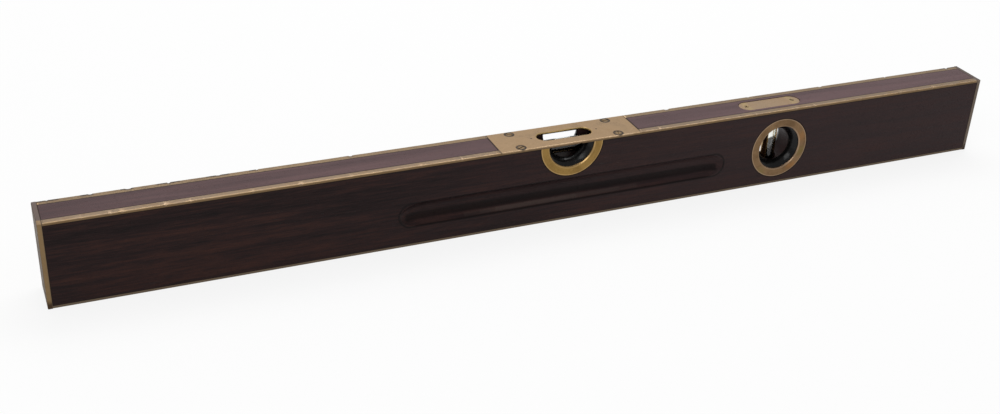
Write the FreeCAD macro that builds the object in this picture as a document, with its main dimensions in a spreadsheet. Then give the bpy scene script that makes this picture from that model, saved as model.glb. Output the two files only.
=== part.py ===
"""Brass-bound plumb and level: a rosewood stock with a level vial and a plumb vial.

The frame has its origin at the middle of the underside, X along the length, the front face
towards -Y and Z up.  All sizes are millimetres.
"""
import FreeCAD, Part
import math
import os
import re
import Sketcher

SIZES = {
    # Wooden stock
    "overall_length": 762.0,
    "stock_width": 30.8,
    "stock_height": 65.1,
    # Brass binding along the edges and on the ends
    "rod_breadth": 5.0,
    "rod_depth": 2.0,
    "arris_radius": 0.5,
    "end_plate_thickness": 3.2,
    "end_screw_spacing": 34.0,
    "end_screw_head": 7.0,
    "end_screw_shank": 3.6,
    "end_screw_length": 22.0,
    # Nick in the lip of the front top rod, over the level port
    "nick_position": 5.8,
    "nick_length": 5.6,
    "nick_depth": 0.5,
    # Top plate
    "plate_length": 114.3,
    "plate_thickness": 1.2,
    "slot_length": 44.45,
    "slot_width": 13.0,
    "slot_bevel": 0.5,
    "plate_mark_position": 26.9,
    "plate_mark_diameter": 1.2,
    "plate_mark_depth": 0.3,
    "plate_screw_spacing": 80.0,
    "plate_screw_gauge": 22.6,
    "plate_screw_head": 7.0,
    "plate_screw_shank": 3.2,
    "plate_screw_length": 14.0,
    # Screwdriver slots
    "driver_slot_width": 0.9,
    "driver_slot_depth": 0.7,
    # Port rings and their flared liners
    "plumb_port_position": 186.2,
    "plumb_port_drop": 0.95,
    "ring_outer_diameter": 50.8,
    "ring_inner_diameter": 36.8,
    "ring_thickness": 1.6,
    "ring_bevel": 0.6,
    "ring_rim_radius": 0.3,
    "liner_wall": 1.0,
    "throat_diameter": 28.0,
    "flare_radius": 10.0,
    # Finger grooves
    "finger_groove_length": 271.0,
    "finger_groove_breadth": 19.5,
    "finger_groove_depth": 5.0,
    "finger_groove_height": 25.5,
    "finger_groove_run_out": 17.5,
    # Vial mechanisms
    "mortise_width": 14.0,
    "mortise_corner": 2.0,
    "mechanism_rise": 8.6,
    "mechanism_end_room": 1.0,
    "level_axis_depth": 8.5,
    "level_reach_past_tube": 5.0,
    "plumb_axis_depth": 7.5,
    "plumb_pivot_reach": 9.6,
    "plumb_lug_reach": 15.0,
    "well_diameter": 13.8,
    "well_room": 2.6,
    # Vials
    "glass_wall": 0.9,
    "glass_end_radius": 2.0,
    "barrel_rise": 0.25,
    "bedding_gap": 0.2,
    "level_glass_diameter": 10.0,
    "level_plaster_length": 1.5,
    "bubble_length": 13.0,
    "bubble_breadth": 6.0,
    "bubble_depth": 2.4,
    "plumb_glass_diameter": 9.0,
    "plumb_plaster_length": 3.5,
    "plumb_ullage": 4.0,
    # Vial tubes
    "tube_wall": 0.8,
    "level_tube_length": 66.0,
    "level_sleeve_length": 9.0,
    "cradle_rise": 1.1,
    "plumb_top_sleeve": 8.0,
    "plumb_bottom_sleeve": 5.5,
    "plumb_window_width": 7.6,
    "plug_length": 2.5,
    "end_flange_thickness": 0.8,
    # Hinges
    "tongue_width": 7.0,
    "tongue_thickness": 2.0,
    "knuckle_diameter": 4.6,
    "pin_diameter": 2.5,
    "pin_clearance": 0.05,
    "bracket_length": 7.0,
    "bracket_thickness": 1.2,
    "bracket_side_clearance": 0.3,
    "bracket_screw_offset": 1.5,
    # Adjusting screws, their feet and springs
    "foot_length": 8.0,
    "foot_width": 12.8,
    "foot_thickness": 2.0,
    "foot_recess_depth": 0.8,
    "foot_screw_spacing": 9.6,
    "thread_diameter": 3.0,
    "thread_clearance": 0.08,
    "journal_diameter": 2.4,
    "journal_clearance": 0.05,
    "collar_diameter": 4.4,
    "collar_thickness": 0.8,
    "flange_thickness": 0.5,
    "lug_travel_room": 2.2,
    "adjuster_head_diameter": 5.2,
    "adjuster_head_height": 1.6,
    "spring_coil_diameter": 5.6,
    "spring_wire_diameter": 0.6,
    "spring_turns": 4.5,
    "spring_end_gap": 0.1,
    # Small wood screws of the mechanisms
    "small_screw_head": 2.8,
    "small_screw_shank": 1.6,
    "small_screw_length": 5.0,
    # Cover plate over the plumb vial
    "cover_position": 181.3,
    "cover_length": 54.8,
    "cover_width": 14.4,
    "cover_thickness": 1.5,
    "cover_sink": 0.3,
    "cover_rim_radius": 0.25,
    "cover_clearance": 0.2,
    "cover_screw_spacing": 42.2,
    "cover_screw_head": 4.0,
    "cover_screw_shank": 2.0,
    "cover_screw_length": 9.0,
}

DERIVED = {
    "half_width": "(stock_width / 2)",
    "half_height": "(stock_height / 2)",
    "stock_length": "(overall_length - 2 * end_plate_thickness)",
    "land_half": "(half_width - rod_breadth)",
    "level_port_height": "(stock_height - rod_depth)",
    "plumb_port_height": "(half_height - plumb_port_drop)",
    "ring_outer": "(ring_outer_diameter / 2)",
    "ring_inner": "(ring_inner_diameter / 2)",
    "throat": "(throat_diameter / 2)",
    "liner_depth": "(half_width - mortise_width / 2)",
    "cutter_radius": "((finger_groove_breadth ^ 2 / 4 + finger_groove_depth ^ 2)"
                     " / (2 * finger_groove_depth))",
    "cutter_end_radius": "((finger_groove_run_out ^ 2 + finger_groove_depth ^ 2)"
                         " / (2 * finger_groove_depth))",
    "cutter_straight": "(finger_groove_length / 2 - finger_groove_run_out)",
    "cutter_reach": "sqrt(cutter_end_radius ^ 2 - (cutter_end_radius - cutter_radius) ^ 2)",
    "level_axis_height": "(stock_height - level_axis_depth)",
    "level_floor_height": "(level_axis_height - mechanism_rise)",
    "plumb_axis_height": "(stock_height - plumb_axis_depth)",
    "plumb_floor_height": "(plumb_axis_height - mechanism_rise)",
    "plumb_pivot_position": "(plumb_port_position + plumb_pivot_reach)",
    "plumb_lug_position": "(plumb_port_position - plumb_lug_reach)",
    "level_reach": "(level_tube_length / 2 + level_reach_past_tube)",
    "level_bedding": "(level_tube_length / 2 - plug_length)",
    "level_glass_length": "(2 * (level_bedding - level_plaster_length))",
    "hinge_room": "(bracket_length / 2 + mechanism_end_room)",
    "foot_room": "(foot_length / 2 + mechanism_end_room)",
    "level_tube_inner": "(level_glass_diameter / 2 + bedding_gap)",
    "level_tube_outer": "(level_tube_inner + tube_wall)",
    "plumb_tube_inner": "(plumb_glass_diameter / 2 + bedding_gap)",
    "plumb_tube_outer": "(plumb_tube_inner + tube_wall)",
    "plumb_glass_height": "(plumb_port_height - plumb_axis_height)",
    "plumb_tube_top": "(0 - tongue_thickness / 2)",
    "plumb_bedding": "(plumb_tube_top - plug_length - plumb_glass_height)",
    "plumb_glass_length": "(2 * (plumb_bedding - plumb_plaster_length))",
    "plumb_tube_bottom": "(plumb_glass_height - plumb_bedding)",
    "plumb_tube_length": "(plumb_tube_top - plumb_tube_bottom)",
    "well_depth": "(plumb_axis_depth - plumb_tube_bottom + well_room)",
    "cover_half_straight": "(cover_length / 2 - cover_width / 2)",
    "recess_radius": "(cover_width / 2 + cover_clearance)",
    "bracket_half_gap": "(tongue_width / 2 + bracket_side_clearance)",
    "bracket_half_width": "(bracket_half_gap + bracket_thickness)",
    "collar_base": "(foot_thickness + journal_clearance)",
    "flange_top": "(foot_recess_depth - journal_clearance)",
    "adjuster_head_base": "(mechanism_rise + tongue_thickness / 2 + lug_travel_room)",
    "spring_base": "(foot_thickness + spring_wire_diameter / 2)",
    "spring_rise": "(mechanism_rise - tongue_thickness / 2 - spring_base"
                   " - spring_wire_diameter / 2 - spring_end_gap)",
}

# How far a cutting profile reaches past the face it cuts through.
OVERCUT = 1.0

DOC = FreeCAD.newDocument("plumb_and_level")
SHEET = DOC.addObject("Spreadsheet::Sheet", "Sizes")


def fill_sheet():
    """Write each driving size into its own named cell."""
    for row, (alias, value) in enumerate(SIZES.items(), start=1):
        SHEET.set(f"A{row}", alias)
        SHEET.set(f"B{row}", str(value))
        SHEET.setAlias(f"B{row}", alias)
    DOC.recompute()


def bound(expression):
    """Return the expression with its names spelled out as spreadsheet cells."""
    def replace(word):
        name = word.group(0)
        if name in DERIVED:
            return bound(DERIVED[name])
        return f"Sizes.{name}" if name in SIZES else name
    return re.sub(r"[a-z][a-z_]*", replace, str(expression))


def value_of(expression):
    """Return the number that the expression has now."""
    return float(SHEET.evalExpression(bound(expression)))


def bind(item, target, expression):
    """Tie one property or constraint of an object to an expression of the sizes."""
    item.setExpression(target, bound(expression))


def minus(expression):
    """Return the expression with its sign changed."""
    return f"(0 - ({expression}))"


def place(item, across="0", depth="0", height="0", rotation=None):
    """Bind the object's position and set the way it is turned."""
    if rotation is not None:
        item.Placement = FreeCAD.Placement(FreeCAD.Vector(0, 0, 0), rotation)
    bind(item, "Placement.Base.x", across)
    bind(item, "Placement.Base.y", depth)
    bind(item, "Placement.Base.z", height)
    return item


def turned(axis, degrees):
    """Return a rotation about one of the frame's axes."""
    return FreeCAD.Rotation(FreeCAD.Vector(*axis), degrees)


def new_body(label):
    """Add an empty body with its label."""
    body = DOC.addObject("PartDesign::Body", label)
    body.Label = label
    return body


def origin_feature(body, role):
    """Return one of the body's own origin planes or axes."""
    return next(item for item in body.Origin.OriginFeatures if item.Role == role)


def new_sketch(body, name, plane, shift=("0", "0"), offset="0"):
    """Add a sketch on one of the body's origin planes, shifted in it and offset from it."""
    sketch = body.newObject("Sketcher::SketchObject", f"{body.Name}_{name}")
    sketch.AttachmentSupport = (origin_feature(body, plane), [""])
    sketch.MapMode = "FlatFace"
    bind(sketch, "AttachmentOffset.Base.x", shift[0])
    bind(sketch, "AttachmentOffset.Base.y", shift[1])
    bind(sketch, "AttachmentOffset.Base.z", offset)
    return sketch


def pin_point(sketch, geometry, position, point):
    """Hold one point of a sketch at a pair of expressions measured from its origin."""
    for kind, axis, expression in (("DistanceX", -2, point[0]), ("DistanceY", -1, point[1])):
        if expression == "0":
            sketch.addConstraint(Sketcher.Constraint("PointOnObject", geometry, position, axis))
            continue
        constraint = Sketcher.Constraint(kind, -1, 1, geometry, position, value_of(expression))
        bind(sketch, f"Constraints[{sketch.addConstraint(constraint)}]", expression)


def arc_between(start, end, radius, side):
    """Return the arc of the given radius whose centre lies on one side of start to end."""
    chord = end - start
    rise = math.sqrt(max(radius ** 2 - (chord.Length / 2) ** 2, 0.0))
    normal = FreeCAD.Vector(-chord.y, chord.x, 0).normalize() * side
    centre = (start + end) * 0.5 + normal * rise
    first, last = (start, end) if side > 0 else (end, start)
    angles = [math.atan2(point.y - centre.y, point.x - centre.x) for point in (first, last)]
    circle = Part.Circle(centre, FreeCAD.Vector(0, 0, 1), radius)
    return Part.ArcOfCircle(circle, angles[0], angles[1])


def draw_profile(sketch, points, arcs=None):
    """Draw a closed profile.

    points is a list of pairs of expressions.  arcs gives, for the stretch that leaves a
    point, the radius of its arc and 1 or -1 for a centre to the left or the right of it.
    """
    arcs = arcs or {}
    corners = [FreeCAD.Vector(value_of(x), value_of(y), 0) for x, y in points]
    ends = []
    for index, start in enumerate(corners):
        end = corners[(index + 1) % len(corners)]
        if index in arcs:
            radius, side = arcs[index]
            stretch = sketch.addGeometry(arc_between(start, end, value_of(radius), side))
            ends.append((stretch, 1, 2) if side > 0 else (stretch, 2, 1))
        else:
            stretch = sketch.addGeometry(Part.LineSegment(start, end))
            ends.append((stretch, 1, 2))
    for index, (stretch, first, last) in enumerate(ends):
        following = ends[(index + 1) % len(ends)]
        sketch.addConstraint(
            Sketcher.Constraint("Coincident", stretch, last, following[0], following[1]))
        pin_point(sketch, stretch, first, points[index])
    for index, (radius, _) in arcs.items():
        constraint = Sketcher.Constraint("Radius", ends[index][0], value_of(radius))
        bind(sketch, f"Constraints[{sketch.addConstraint(constraint)}]", radius)
    return sketch


def draw_circle(sketch, centre, radius):
    """Draw a circle about a pair of expressions."""
    middle = FreeCAD.Vector(value_of(centre[0]), value_of(centre[1]), 0)
    ring = sketch.addGeometry(Part.Circle(middle, FreeCAD.Vector(0, 0, 1), value_of(radius)))
    pin_point(sketch, ring, 3, centre)
    constraint = Sketcher.Constraint("Radius", ring, value_of(radius))
    bind(sketch, f"Constraints[{sketch.addConstraint(constraint)}]", radius)
    return sketch


def draw_box(sketch, low, high):
    """Draw a rectangle between two opposite corners."""
    return draw_profile(sketch, [low, (high[0], low[1]), high, (low[0], high[1])])


def draw_obround(sketch, half_straight, radius):
    """Draw a slot along the sketch's first axis, round at both ends."""
    left, right = minus(half_straight), half_straight
    points = [(right, minus(radius)), (f"{right} + {radius}", "0"), (right, radius),
              (left, radius), (minus(f"{right} + {radius}"), "0"), (left, minus(radius))]
    return draw_profile(sketch, points, {index: (radius, 1) for index in (0, 1, 3, 4)})


def draw_rounded_box(sketch, low, high, radius):
    """Draw a rectangle with its four corners rounded."""
    points = [(f"{low[0]} + {radius}", low[1]), (f"{high[0]} - {radius}", low[1]),
              (high[0], f"{low[1]} + {radius}"), (high[0], f"{high[1]} - {radius}"),
              (f"{high[0]} - {radius}", high[1]), (f"{low[0]} + {radius}", high[1]),
              (low[0], f"{high[1]} - {radius}"), (low[0], f"{low[1]} + {radius}")]
    return draw_profile(sketch, points, {index: (radius, 1) for index in (1, 3, 5, 7)})


def extrude(body, kind, sketch, length, both_ways=False, backwards=False):
    """Add a pad or a pocket of the sketch to the body."""
    feature = body.newObject(f"PartDesign::{kind}", f"{sketch.Name}_{kind.lower()}")
    feature.Profile = sketch
    feature.Midplane = both_ways
    feature.Reversed = backwards
    bind(feature, "Length", length)
    return feature


def revolve(body, kind, sketch, axis, angle=360.0):
    """Add a revolution or a groove of the sketch about one of its axes to the body."""
    feature = body.newObject(f"PartDesign::{kind}", f"{sketch.Name}_{kind.lower()}")
    feature.Profile = sketch
    feature.ReferenceAxis = (sketch, [axis])
    feature.Angle = angle
    return feature


def edges_where(feature, test):
    """Return the names of the feature's edges whose two ends both pass the test."""
    DOC.recompute()
    return [f"Edge{number}" for number, edge in enumerate(feature.Shape.Edges, start=1)
            if all(test(vertex.Point) for vertex in edge.Vertexes)]


def soften(body, kind, base, test, size):
    """Fillet or chamfer the edges that pass the test."""
    names = edges_where(base, test)
    feature = body.newObject(f"PartDesign::{kind}", f"{body.Name}_{kind.lower()}")
    feature.Base = (base, names)
    bind(feature, "Radius" if kind == "Fillet" else "Size", size)
    return feature


def near(first, second):
    """Say whether two lengths are the same to a micrometre."""
    return abs(first - second) < 1e-3


def screw_profile(head, shank, length):
    """Return half the outline of a countersunk screw, its head's face at the origin."""
    cone = f"({head} - {shank}) / 2"
    return [("0", "0"), (f"{head} / 2", "0"), (f"{shank} / 2", minus(cone)),
            (f"{shank} / 2", f"{shank} - {length}"), ("0", minus(length))]


def hole_profile(head, shank, length):
    """Return half the outline of the countersunk hole that such a screw fills."""
    cone = f"({head} - {shank}) / 2"
    return [("0", "0"), (f"{head} / 2", "0"), (f"{shank} / 2", minus(cone)),
            (f"{shank} / 2", minus(length)), ("0", minus(length))]


def cut_screw_hole(body, name, position, sizes):
    """Cut a countersunk hole, down from the given point of its mouth."""
    across, depth, height = position
    sketch = new_sketch(body, name, "XZ_Plane", (across, height), minus(depth))
    draw_profile(sketch, hole_profile(*sizes))
    return revolve(body, "Groove", sketch, "V_Axis")


def screw_master(label, sizes):
    """Make one slotted countersunk wood screw, pointing down from the origin."""
    body = new_body(label)
    revolve(body, "Revolution", draw_profile(new_sketch(body, "turning", "XZ_Plane"),
                                             screw_profile(*sizes)), "V_Axis")
    slot = new_sketch(body, "slot", "XY_Plane")
    draw_box(slot, (minus(sizes[0]), minus("driver_slot_width / 2")),
             (sizes[0], "driver_slot_width / 2"))
    extrude(body, "Pocket", slot, "driver_slot_depth")
    return body


def screw_group(label, master, places):
    """Gather copies of one screw, each at its own place, under one label."""
    copies = []
    for number, (position, rotation) in enumerate(places, start=1):
        copy = DOC.addObject("App::Link", f"{label}_{number}")
        copy.LinkedObject = master
        copies.append(place(copy, *position, rotation=rotation))
    group = DOC.addObject("Part::Compound", label)
    group.Label = label
    group.Links = copies
    return group


END_SCREW = ("end_screw_head", "end_screw_shank", "end_screw_length")
PLATE_SCREW = ("plate_screw_head", "plate_screw_shank", "plate_screw_length")
COVER_SCREW = ("cover_screw_head", "cover_screw_shank", "cover_screw_length")
SMALL_SCREW = ("small_screw_head", "small_screw_shank", "small_screw_length")

PLATE_SCREW_PLACES = [(f"{x} * plate_screw_spacing / 2", f"{y} * plate_screw_gauge / 2")
                      for x in (-1, 1) for y in (-1, 1)]
END_SCREW_HEIGHTS = [f"half_height + {side} * end_screw_spacing / 2" for side in (-1, 1)]
COVER_SCREW_PLACES = [f"cover_position + {side} * cover_screw_spacing / 2" for side in (-1, 1)]
FOOT_SCREW_DEPTHS = [f"{side} * foot_screw_spacing / 2" for side in (-1, 1)]
FOOT_PLACES = [("level_reach", "level_floor_height"), ("plumb_lug_position", "plumb_floor_height")]
BRACKET_SCREW_PLACES = [(minus("level_reach + bracket_screw_offset"), "level_floor_height"),
                        ("plumb_pivot_position + bracket_screw_offset", "plumb_floor_height")]


def cut_port(body, name, position, height, angle):
    """Bore a port right through, with a seat for a ring and a liner at both faces."""
    sketch = new_sketch(body, name, "XY_Plane", (position, "0"), height)
    seat = "(half_width - ring_thickness)"
    neck = "(half_width - liner_depth)"
    outside = f"(half_width + {OVERCUT})"
    mouth, shell = "ring_inner + liner_wall", "throat + liner_wall"
    points = [("0", minus(outside)), ("ring_outer", minus(outside)), ("ring_outer", minus(seat)),
              (mouth, minus(seat)), (shell, minus(neck)), ("throat", minus(neck)),
              ("throat", neck), (shell, neck), (mouth, seat),
              ("ring_outer", seat), ("ring_outer", outside), ("0", outside)]
    draw_profile(sketch, points, {3: ("flare_radius", -1), 7: ("flare_radius", -1)})
    return revolve(body, "Groove", sketch, "V_Axis", angle)


def cut_finger_grooves(body):
    """Scoop a finger groove in the front face and mirror it to the rear."""
    axis_depth = minus("half_width + cutter_radius - finger_groove_depth")
    sketch = new_sketch(body, "finger", "XY_Plane", ("0", axis_depth), "finger_groove_height")
    end = "cutter_straight + cutter_reach"
    points = [(minus(end), "0"), (end, "0"), ("cutter_straight", "cutter_radius"),
              (minus("cutter_straight"), "cutter_radius")]
    arc = ("cutter_end_radius", 1)
    draw_profile(sketch, points, {1: arc, 3: arc})
    scoop = revolve(body, "Groove", sketch, "H_Axis")
    mirror = body.newObject("PartDesign::Mirrored", f"{body.Name}_rear_finger_groove")
    mirror.Originals = [scoop]
    mirror.MirrorPlane = (origin_feature(body, "XZ_Plane"), [""])
    body.Tip = mirror
    return mirror


def cut_from_top(body, name, draw, depth, position="0"):
    """Pocket a shape down from the top edge of the stock."""
    sketch = new_sketch(body, name, "XY_Plane", (position, "0"), "stock_height")
    draw(sketch)
    return extrude(body, "Pocket", sketch, depth)


def make_stock():
    """Make the wooden stock with every seat, mortise, port and hole in it."""
    body = new_body("wooden_stock")
    section = new_sketch(body, "section", "YZ_Plane")
    step, edge, ledge = "land_half", "half_width", "(stock_height - rod_depth)"
    right = [(step, "0"), (step, "rod_depth"), (edge, "rod_depth"), (edge, ledge), (step, ledge),
             (step, "stock_height")]
    left = [(minus(y), z) for y, z in reversed(right)]
    draw_profile(section, right + left)
    extrude(body, "Pad", section, "stock_length", both_ways=True)

    half_plate = "plate_length / 2"
    cut_from_top(body, "plate_seat", lambda sketch: draw_box(
        sketch, (minus(half_plate), minus("half_width")), (half_plate, "half_width")),
        "plate_thickness")
    cut_from_top(body, "vial_mortise", lambda sketch: draw_rounded_box(
        sketch, (minus("level_reach + hinge_room"), minus("mortise_width / 2")),
        ("level_reach + foot_room", "mortise_width / 2"), "mortise_corner"),
        "stock_height - level_floor_height")
    cut_from_top(body, "cover_recess", lambda sketch: draw_obround(
        sketch, "cover_half_straight", "recess_radius"),
        "cover_thickness + cover_sink", "cover_position")
    cut_from_top(body, "plumb_pocket", lambda sketch: draw_rounded_box(
        sketch, (minus("plumb_lug_reach + foot_room"), minus("mortise_width / 2")),
        ("plumb_pivot_reach + hinge_room", "mortise_width / 2"), "mortise_corner"),
        "stock_height - plumb_floor_height", "plumb_port_position")
    cut_from_top(body, "plumb_well", lambda sketch: draw_circle(
        sketch, ("0", "0"), "well_diameter / 2"), "well_depth", "plumb_port_position")

    cut_port(body, "level_port", "0", "level_port_height", 180.0)
    cut_port(body, "plumb_port", "plumb_port_position", "plumb_port_height", 360.0)
    drill_stock(body)
    cut_finger_grooves(body)
    return body


def drill_stock(body):
    """Drill the stock for every wood screw."""
    for number, (across, depth) in enumerate(PLATE_SCREW_PLACES, start=1):
        cut_screw_hole(body, f"plate_screw_{number}", (across, depth, "stock_height"), PLATE_SCREW)
    for number, across in enumerate(COVER_SCREW_PLACES, start=1):
        mouth = (across, "0", "stock_height - cover_sink")
        cut_screw_hole(body, f"cover_screw_{number}", mouth, COVER_SCREW)
    for number, (across, floor) in enumerate(BRACKET_SCREW_PLACES, start=1):
        mouth = (across, "0", f"{floor} + bracket_thickness")
        cut_screw_hole(body, f"bracket_screw_{number}", mouth, SMALL_SCREW)
    for side, (across, floor) in enumerate(FOOT_PLACES, start=1):
        for number, depth in enumerate(FOOT_SCREW_DEPTHS, start=1):
            mouth = (across, depth, f"{floor} + foot_thickness")
            cut_screw_hole(body, f"foot_screw_{side}_{number}", mouth, SMALL_SCREW)
    reach = "end_screw_length - end_plate_thickness"
    for side, start, backwards in (("left", minus("stock_length / 2"), True),
                                   ("right", "stock_length / 2", False)):
        for number, height in enumerate(END_SCREW_HEIGHTS, start=1):
            sketch = new_sketch(body, f"end_{side}_{number}", "YZ_Plane", ("0", height), start)
            draw_circle(sketch, ("0", "0"), "end_screw_shank / 2")
            extrude(body, "Pocket", sketch, reach, backwards=backwards)


def make_rod(label, rotation, let_in, nicked=False):
    """Make one binding rod about the stock's middle, as the front top rod is, then turn it."""
    body = new_body(label)
    section = new_sketch(body, "section", "YZ_Plane")
    outer, inner = minus("half_width"), minus("land_half")
    low = "(half_height - rod_depth)"
    draw_profile(section, [(outer, low), (inner, low), (inner, "half_height"),
                           (f"{outer} + arris_radius", "half_height"),
                           (outer, "half_height - arris_radius")], {3: ("arris_radius", 1)})
    extrude(body, "Pad", section, "stock_length", both_ways=True)
    if let_in:
        seat = new_sketch(body, "plate_seat", "XY_Plane", offset="half_height")
        draw_box(seat, (minus("plate_length / 2"), minus(f"half_width + {OVERCUT}")),
                 ("plate_length / 2", "0"))
        extrude(body, "Pocket", seat, "plate_thickness")
        for number, (across, depth) in enumerate(PLATE_SCREW_PLACES, start=1):
            if depth.startswith("-1"):
                cut_screw_hole(body, f"plate_screw_{number}", (across, depth, "half_height"),
                               PLATE_SCREW)
    if nicked:
        nick = new_sketch(body, "nick", "XZ_Plane", ("nick_position", low), "half_width")
        draw_profile(nick, [(minus("nick_length / 2"), "0"), ("nick_length / 2", "0"),
                            ("nick_length / 3", "nick_depth"), ("nick_length / -6", "nick_depth / 2")])
        extrude(body, "Pocket", nick, "rod_breadth")
    return place(body, height="half_height", rotation=rotation)


def make_end_plate(label, side):
    """Make the brass plate that closes one end of the stock."""
    body = new_body(label)
    outline = new_sketch(body, "outline", "YZ_Plane")
    draw_box(outline, (minus("half_width"), "0"), ("half_width", "stock_height"))
    plate = extrude(body, "Pad", outline, "end_plate_thickness")
    for number, height in enumerate(END_SCREW_HEIGHTS, start=1):
        sketch = new_sketch(body, f"screw_{number}", "XY_Plane", ("0", "0"), height)
        draw_profile(sketch, [("0", "0"), ("0", "end_screw_shank / 2"),
                              ("end_plate_thickness - (end_screw_head - end_screw_shank) / 2",
                               "end_screw_shank / 2"),
                              ("end_plate_thickness", "end_screw_head / 2"),
                              ("end_plate_thickness", "0")])
        plate = revolve(body, "Groove", sketch, "H_Axis")
    thickness, height = value_of("end_plate_thickness"), value_of("stock_height")
    half_width = value_of("half_width")

    def on_rim(point):
        on_side = near(abs(point.y), half_width) or near(point.z, 0) or near(point.z, height)
        return near(point.x, thickness) and on_side

    soften(body, "Fillet", plate, on_rim, "arris_radius")
    rotation = turned((0, 0, 1), 0 if side > 0 else 180)
    return place(body, f"{side} * stock_length / 2", rotation=rotation)


def make_top_plate():
    """Make the brass top plate, its long edges rounded as the rods are, with its slot and holes."""
    body = new_body("top_plate")
    section = new_sketch(body, "section", "YZ_Plane")
    edge, flat = "half_width", "(half_width - arris_radius)"
    side = "(plate_thickness - arris_radius)"
    draw_profile(section, [(minus(edge), "0"), (edge, "0"), (edge, side),
                           (flat, "plate_thickness"), (minus(flat), "plate_thickness"),
                           (minus(edge), side)],
                 {2: ("arris_radius", 1), 4: ("arris_radius", 1)})
    extrude(body, "Pad", section, "plate_length", both_ways=True)
    mark = new_sketch(body, "mark", "XZ_Plane", ("plate_mark_position", "plate_thickness"))
    draw_profile(mark, [("0", "0"), ("plate_mark_diameter / 2", "0"),
                        ("0", minus("plate_mark_depth"))])
    revolve(body, "Groove", mark, "V_Axis")
    for number, (across, depth) in enumerate(PLATE_SCREW_PLACES, start=1):
        cut_screw_hole(body, f"screw_{number}", (across, depth, "plate_thickness"), PLATE_SCREW)
    slot = new_sketch(body, "slot", "XY_Plane", offset="plate_thickness")
    draw_obround(slot, "(slot_length - slot_width) / 2", "(slot_width / 2)")
    cut = extrude(body, "Pocket", slot, "plate_thickness")
    top, reach = value_of("plate_thickness"), value_of("slot_width / 2")
    ends = value_of("slot_length / 2")

    def on_slot_rim(point):
        return near(point.z, top) and abs(point.y) < reach + 0.01 and abs(point.x) < ends + 0.01

    soften(body, "Chamfer", cut, on_slot_rim, "slot_bevel")
    return place(body, height="stock_height - plate_thickness")


def make_cover_plate():
    """Make the small brass cover over the plumb vial."""
    body = new_body("plumb_cover_plate")
    outline = new_sketch(body, "outline", "XY_Plane")
    draw_obround(outline, "cover_half_straight", "(cover_width / 2)")
    blank = extrude(body, "Pad", outline, "cover_thickness")
    top = value_of("cover_thickness")
    soften(body, "Fillet", blank, lambda point: near(point.z, top), "cover_rim_radius")
    for number, side in enumerate((-1, 1), start=1):
        mouth = (f"{side} * cover_screw_spacing / 2", "0", "cover_thickness")
        cut_screw_hole(body, f"screw_{number}", mouth, COVER_SCREW)
    return place(body, "cover_position", height="stock_height - cover_sink - cover_thickness")


def make_ring(label, position, height, side, angle):
    """Make one flat port ring, whole or as the lower half, on the front or the rear face."""
    body = new_body(label)
    section = new_sketch(body, "section", "XY_Plane")
    draw_profile(section, [("ring_inner", "0"), ("ring_outer", "0"),
                           ("ring_outer", minus("ring_thickness - ring_rim_radius")),
                           ("ring_outer - ring_rim_radius", minus("ring_thickness")),
                           ("ring_inner + ring_bevel", minus("ring_thickness")),
                           ("ring_inner", minus("ring_thickness - ring_bevel"))],
                 {2: ("ring_rim_radius", -1)})
    revolve(body, "Revolution", section, "V_Axis", angle)
    return set_on_face(body, position, height, side, "half_width - ring_thickness")


def make_liner(label, position, height, side, angle):
    """Make one flared liner that narrows from its ring to the throat of the port."""
    body = new_body(label)
    section = new_sketch(body, "section", "XY_Plane")
    mouth = minus("liner_depth - ring_thickness")
    draw_profile(section, [("throat", "0"), ("throat + liner_wall", "0"),
                           ("ring_inner + liner_wall", mouth), ("ring_inner", mouth)],
                 {1: ("flare_radius", 1), 3: ("flare_radius", -1)})
    revolve(body, "Revolution", section, "V_Axis", angle)
    return set_on_face(body, position, height, side, "half_width - liner_depth")


def set_on_face(body, position, height, side, depth):
    """Stand a turned piece on the front face, or turned about Z on the rear one."""
    rotation = turned((0, 0, 1), 0 if side < 0 else 180)
    return place(body, position, f"{side} * ({depth})", height, rotation)


def make_glass(label, diameter, length):
    """Make a sealed vial about the Z axis, its bore ground slightly barrel-shaped."""
    body = new_body(label)
    section = new_sketch(body, "section", "XZ_Plane")
    radius, half = f"({diameter} / 2)", f"({length} / 2)"
    bore = f"({radius} - glass_wall - barrel_rise)"
    chamber = f"({half} - glass_wall)"
    shoulder = f"({radius} - glass_end_radius)"
    points = [("0", minus(half)), (shoulder, minus(half)),
              (radius, f"glass_end_radius - {half}"), (radius, f"{half} - glass_end_radius"),
              (shoulder, half), ("0", half), ("0", chamber), (bore, chamber),
              (bore, minus(chamber)), ("0", minus(chamber))]
    arcs = {1: ("glass_end_radius", 1), 3: ("glass_end_radius", 1),
            7: (barrel_radius(chamber), -1)}
    draw_profile(section, points, arcs)
    revolve(body, "Revolution", section, "V_Axis")
    return body


def barrel_radius(chamber):
    """Return the radius of the long arc along a vial's bore."""
    return f"(({chamber} ^ 2 + barrel_rise ^ 2) / (2 * barrel_rise))"


def make_level_spirit():
    """Make the spirit of the level vial, hollowed at the top by its bubble."""
    body = new_body("level_vial_spirit")
    section = new_sketch(body, "section", "XZ_Plane")
    bore = "(level_glass_diameter / 2 - glass_wall - barrel_rise)"
    chamber = "(level_glass_length / 2 - glass_wall)"
    draw_profile(section, [(minus(chamber), "0"), (chamber, "0"), (chamber, bore),
                           (minus(chamber), bore)], {2: (barrel_radius(chamber), 1)})
    revolve(body, "Revolution", section, "H_Axis")
    bubble = body.newObject("PartDesign::SubtractiveEllipsoid", "level_bubble")
    bind(bubble, "Radius1", "bubble_depth / 2")
    bind(bubble, "Radius2", "bubble_length / 2")
    bind(bubble, "Radius3", "bubble_breadth / 2")
    bubble.AttachmentSupport = (origin_feature(body, "XY_Plane"), [""])
    bubble.MapMode = "FlatFace"
    bind(bubble, "AttachmentOffset.Base.z", "level_glass_diameter / 2 - glass_wall - bubble_depth / 3")
    return place(body, height="level_axis_height")


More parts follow.
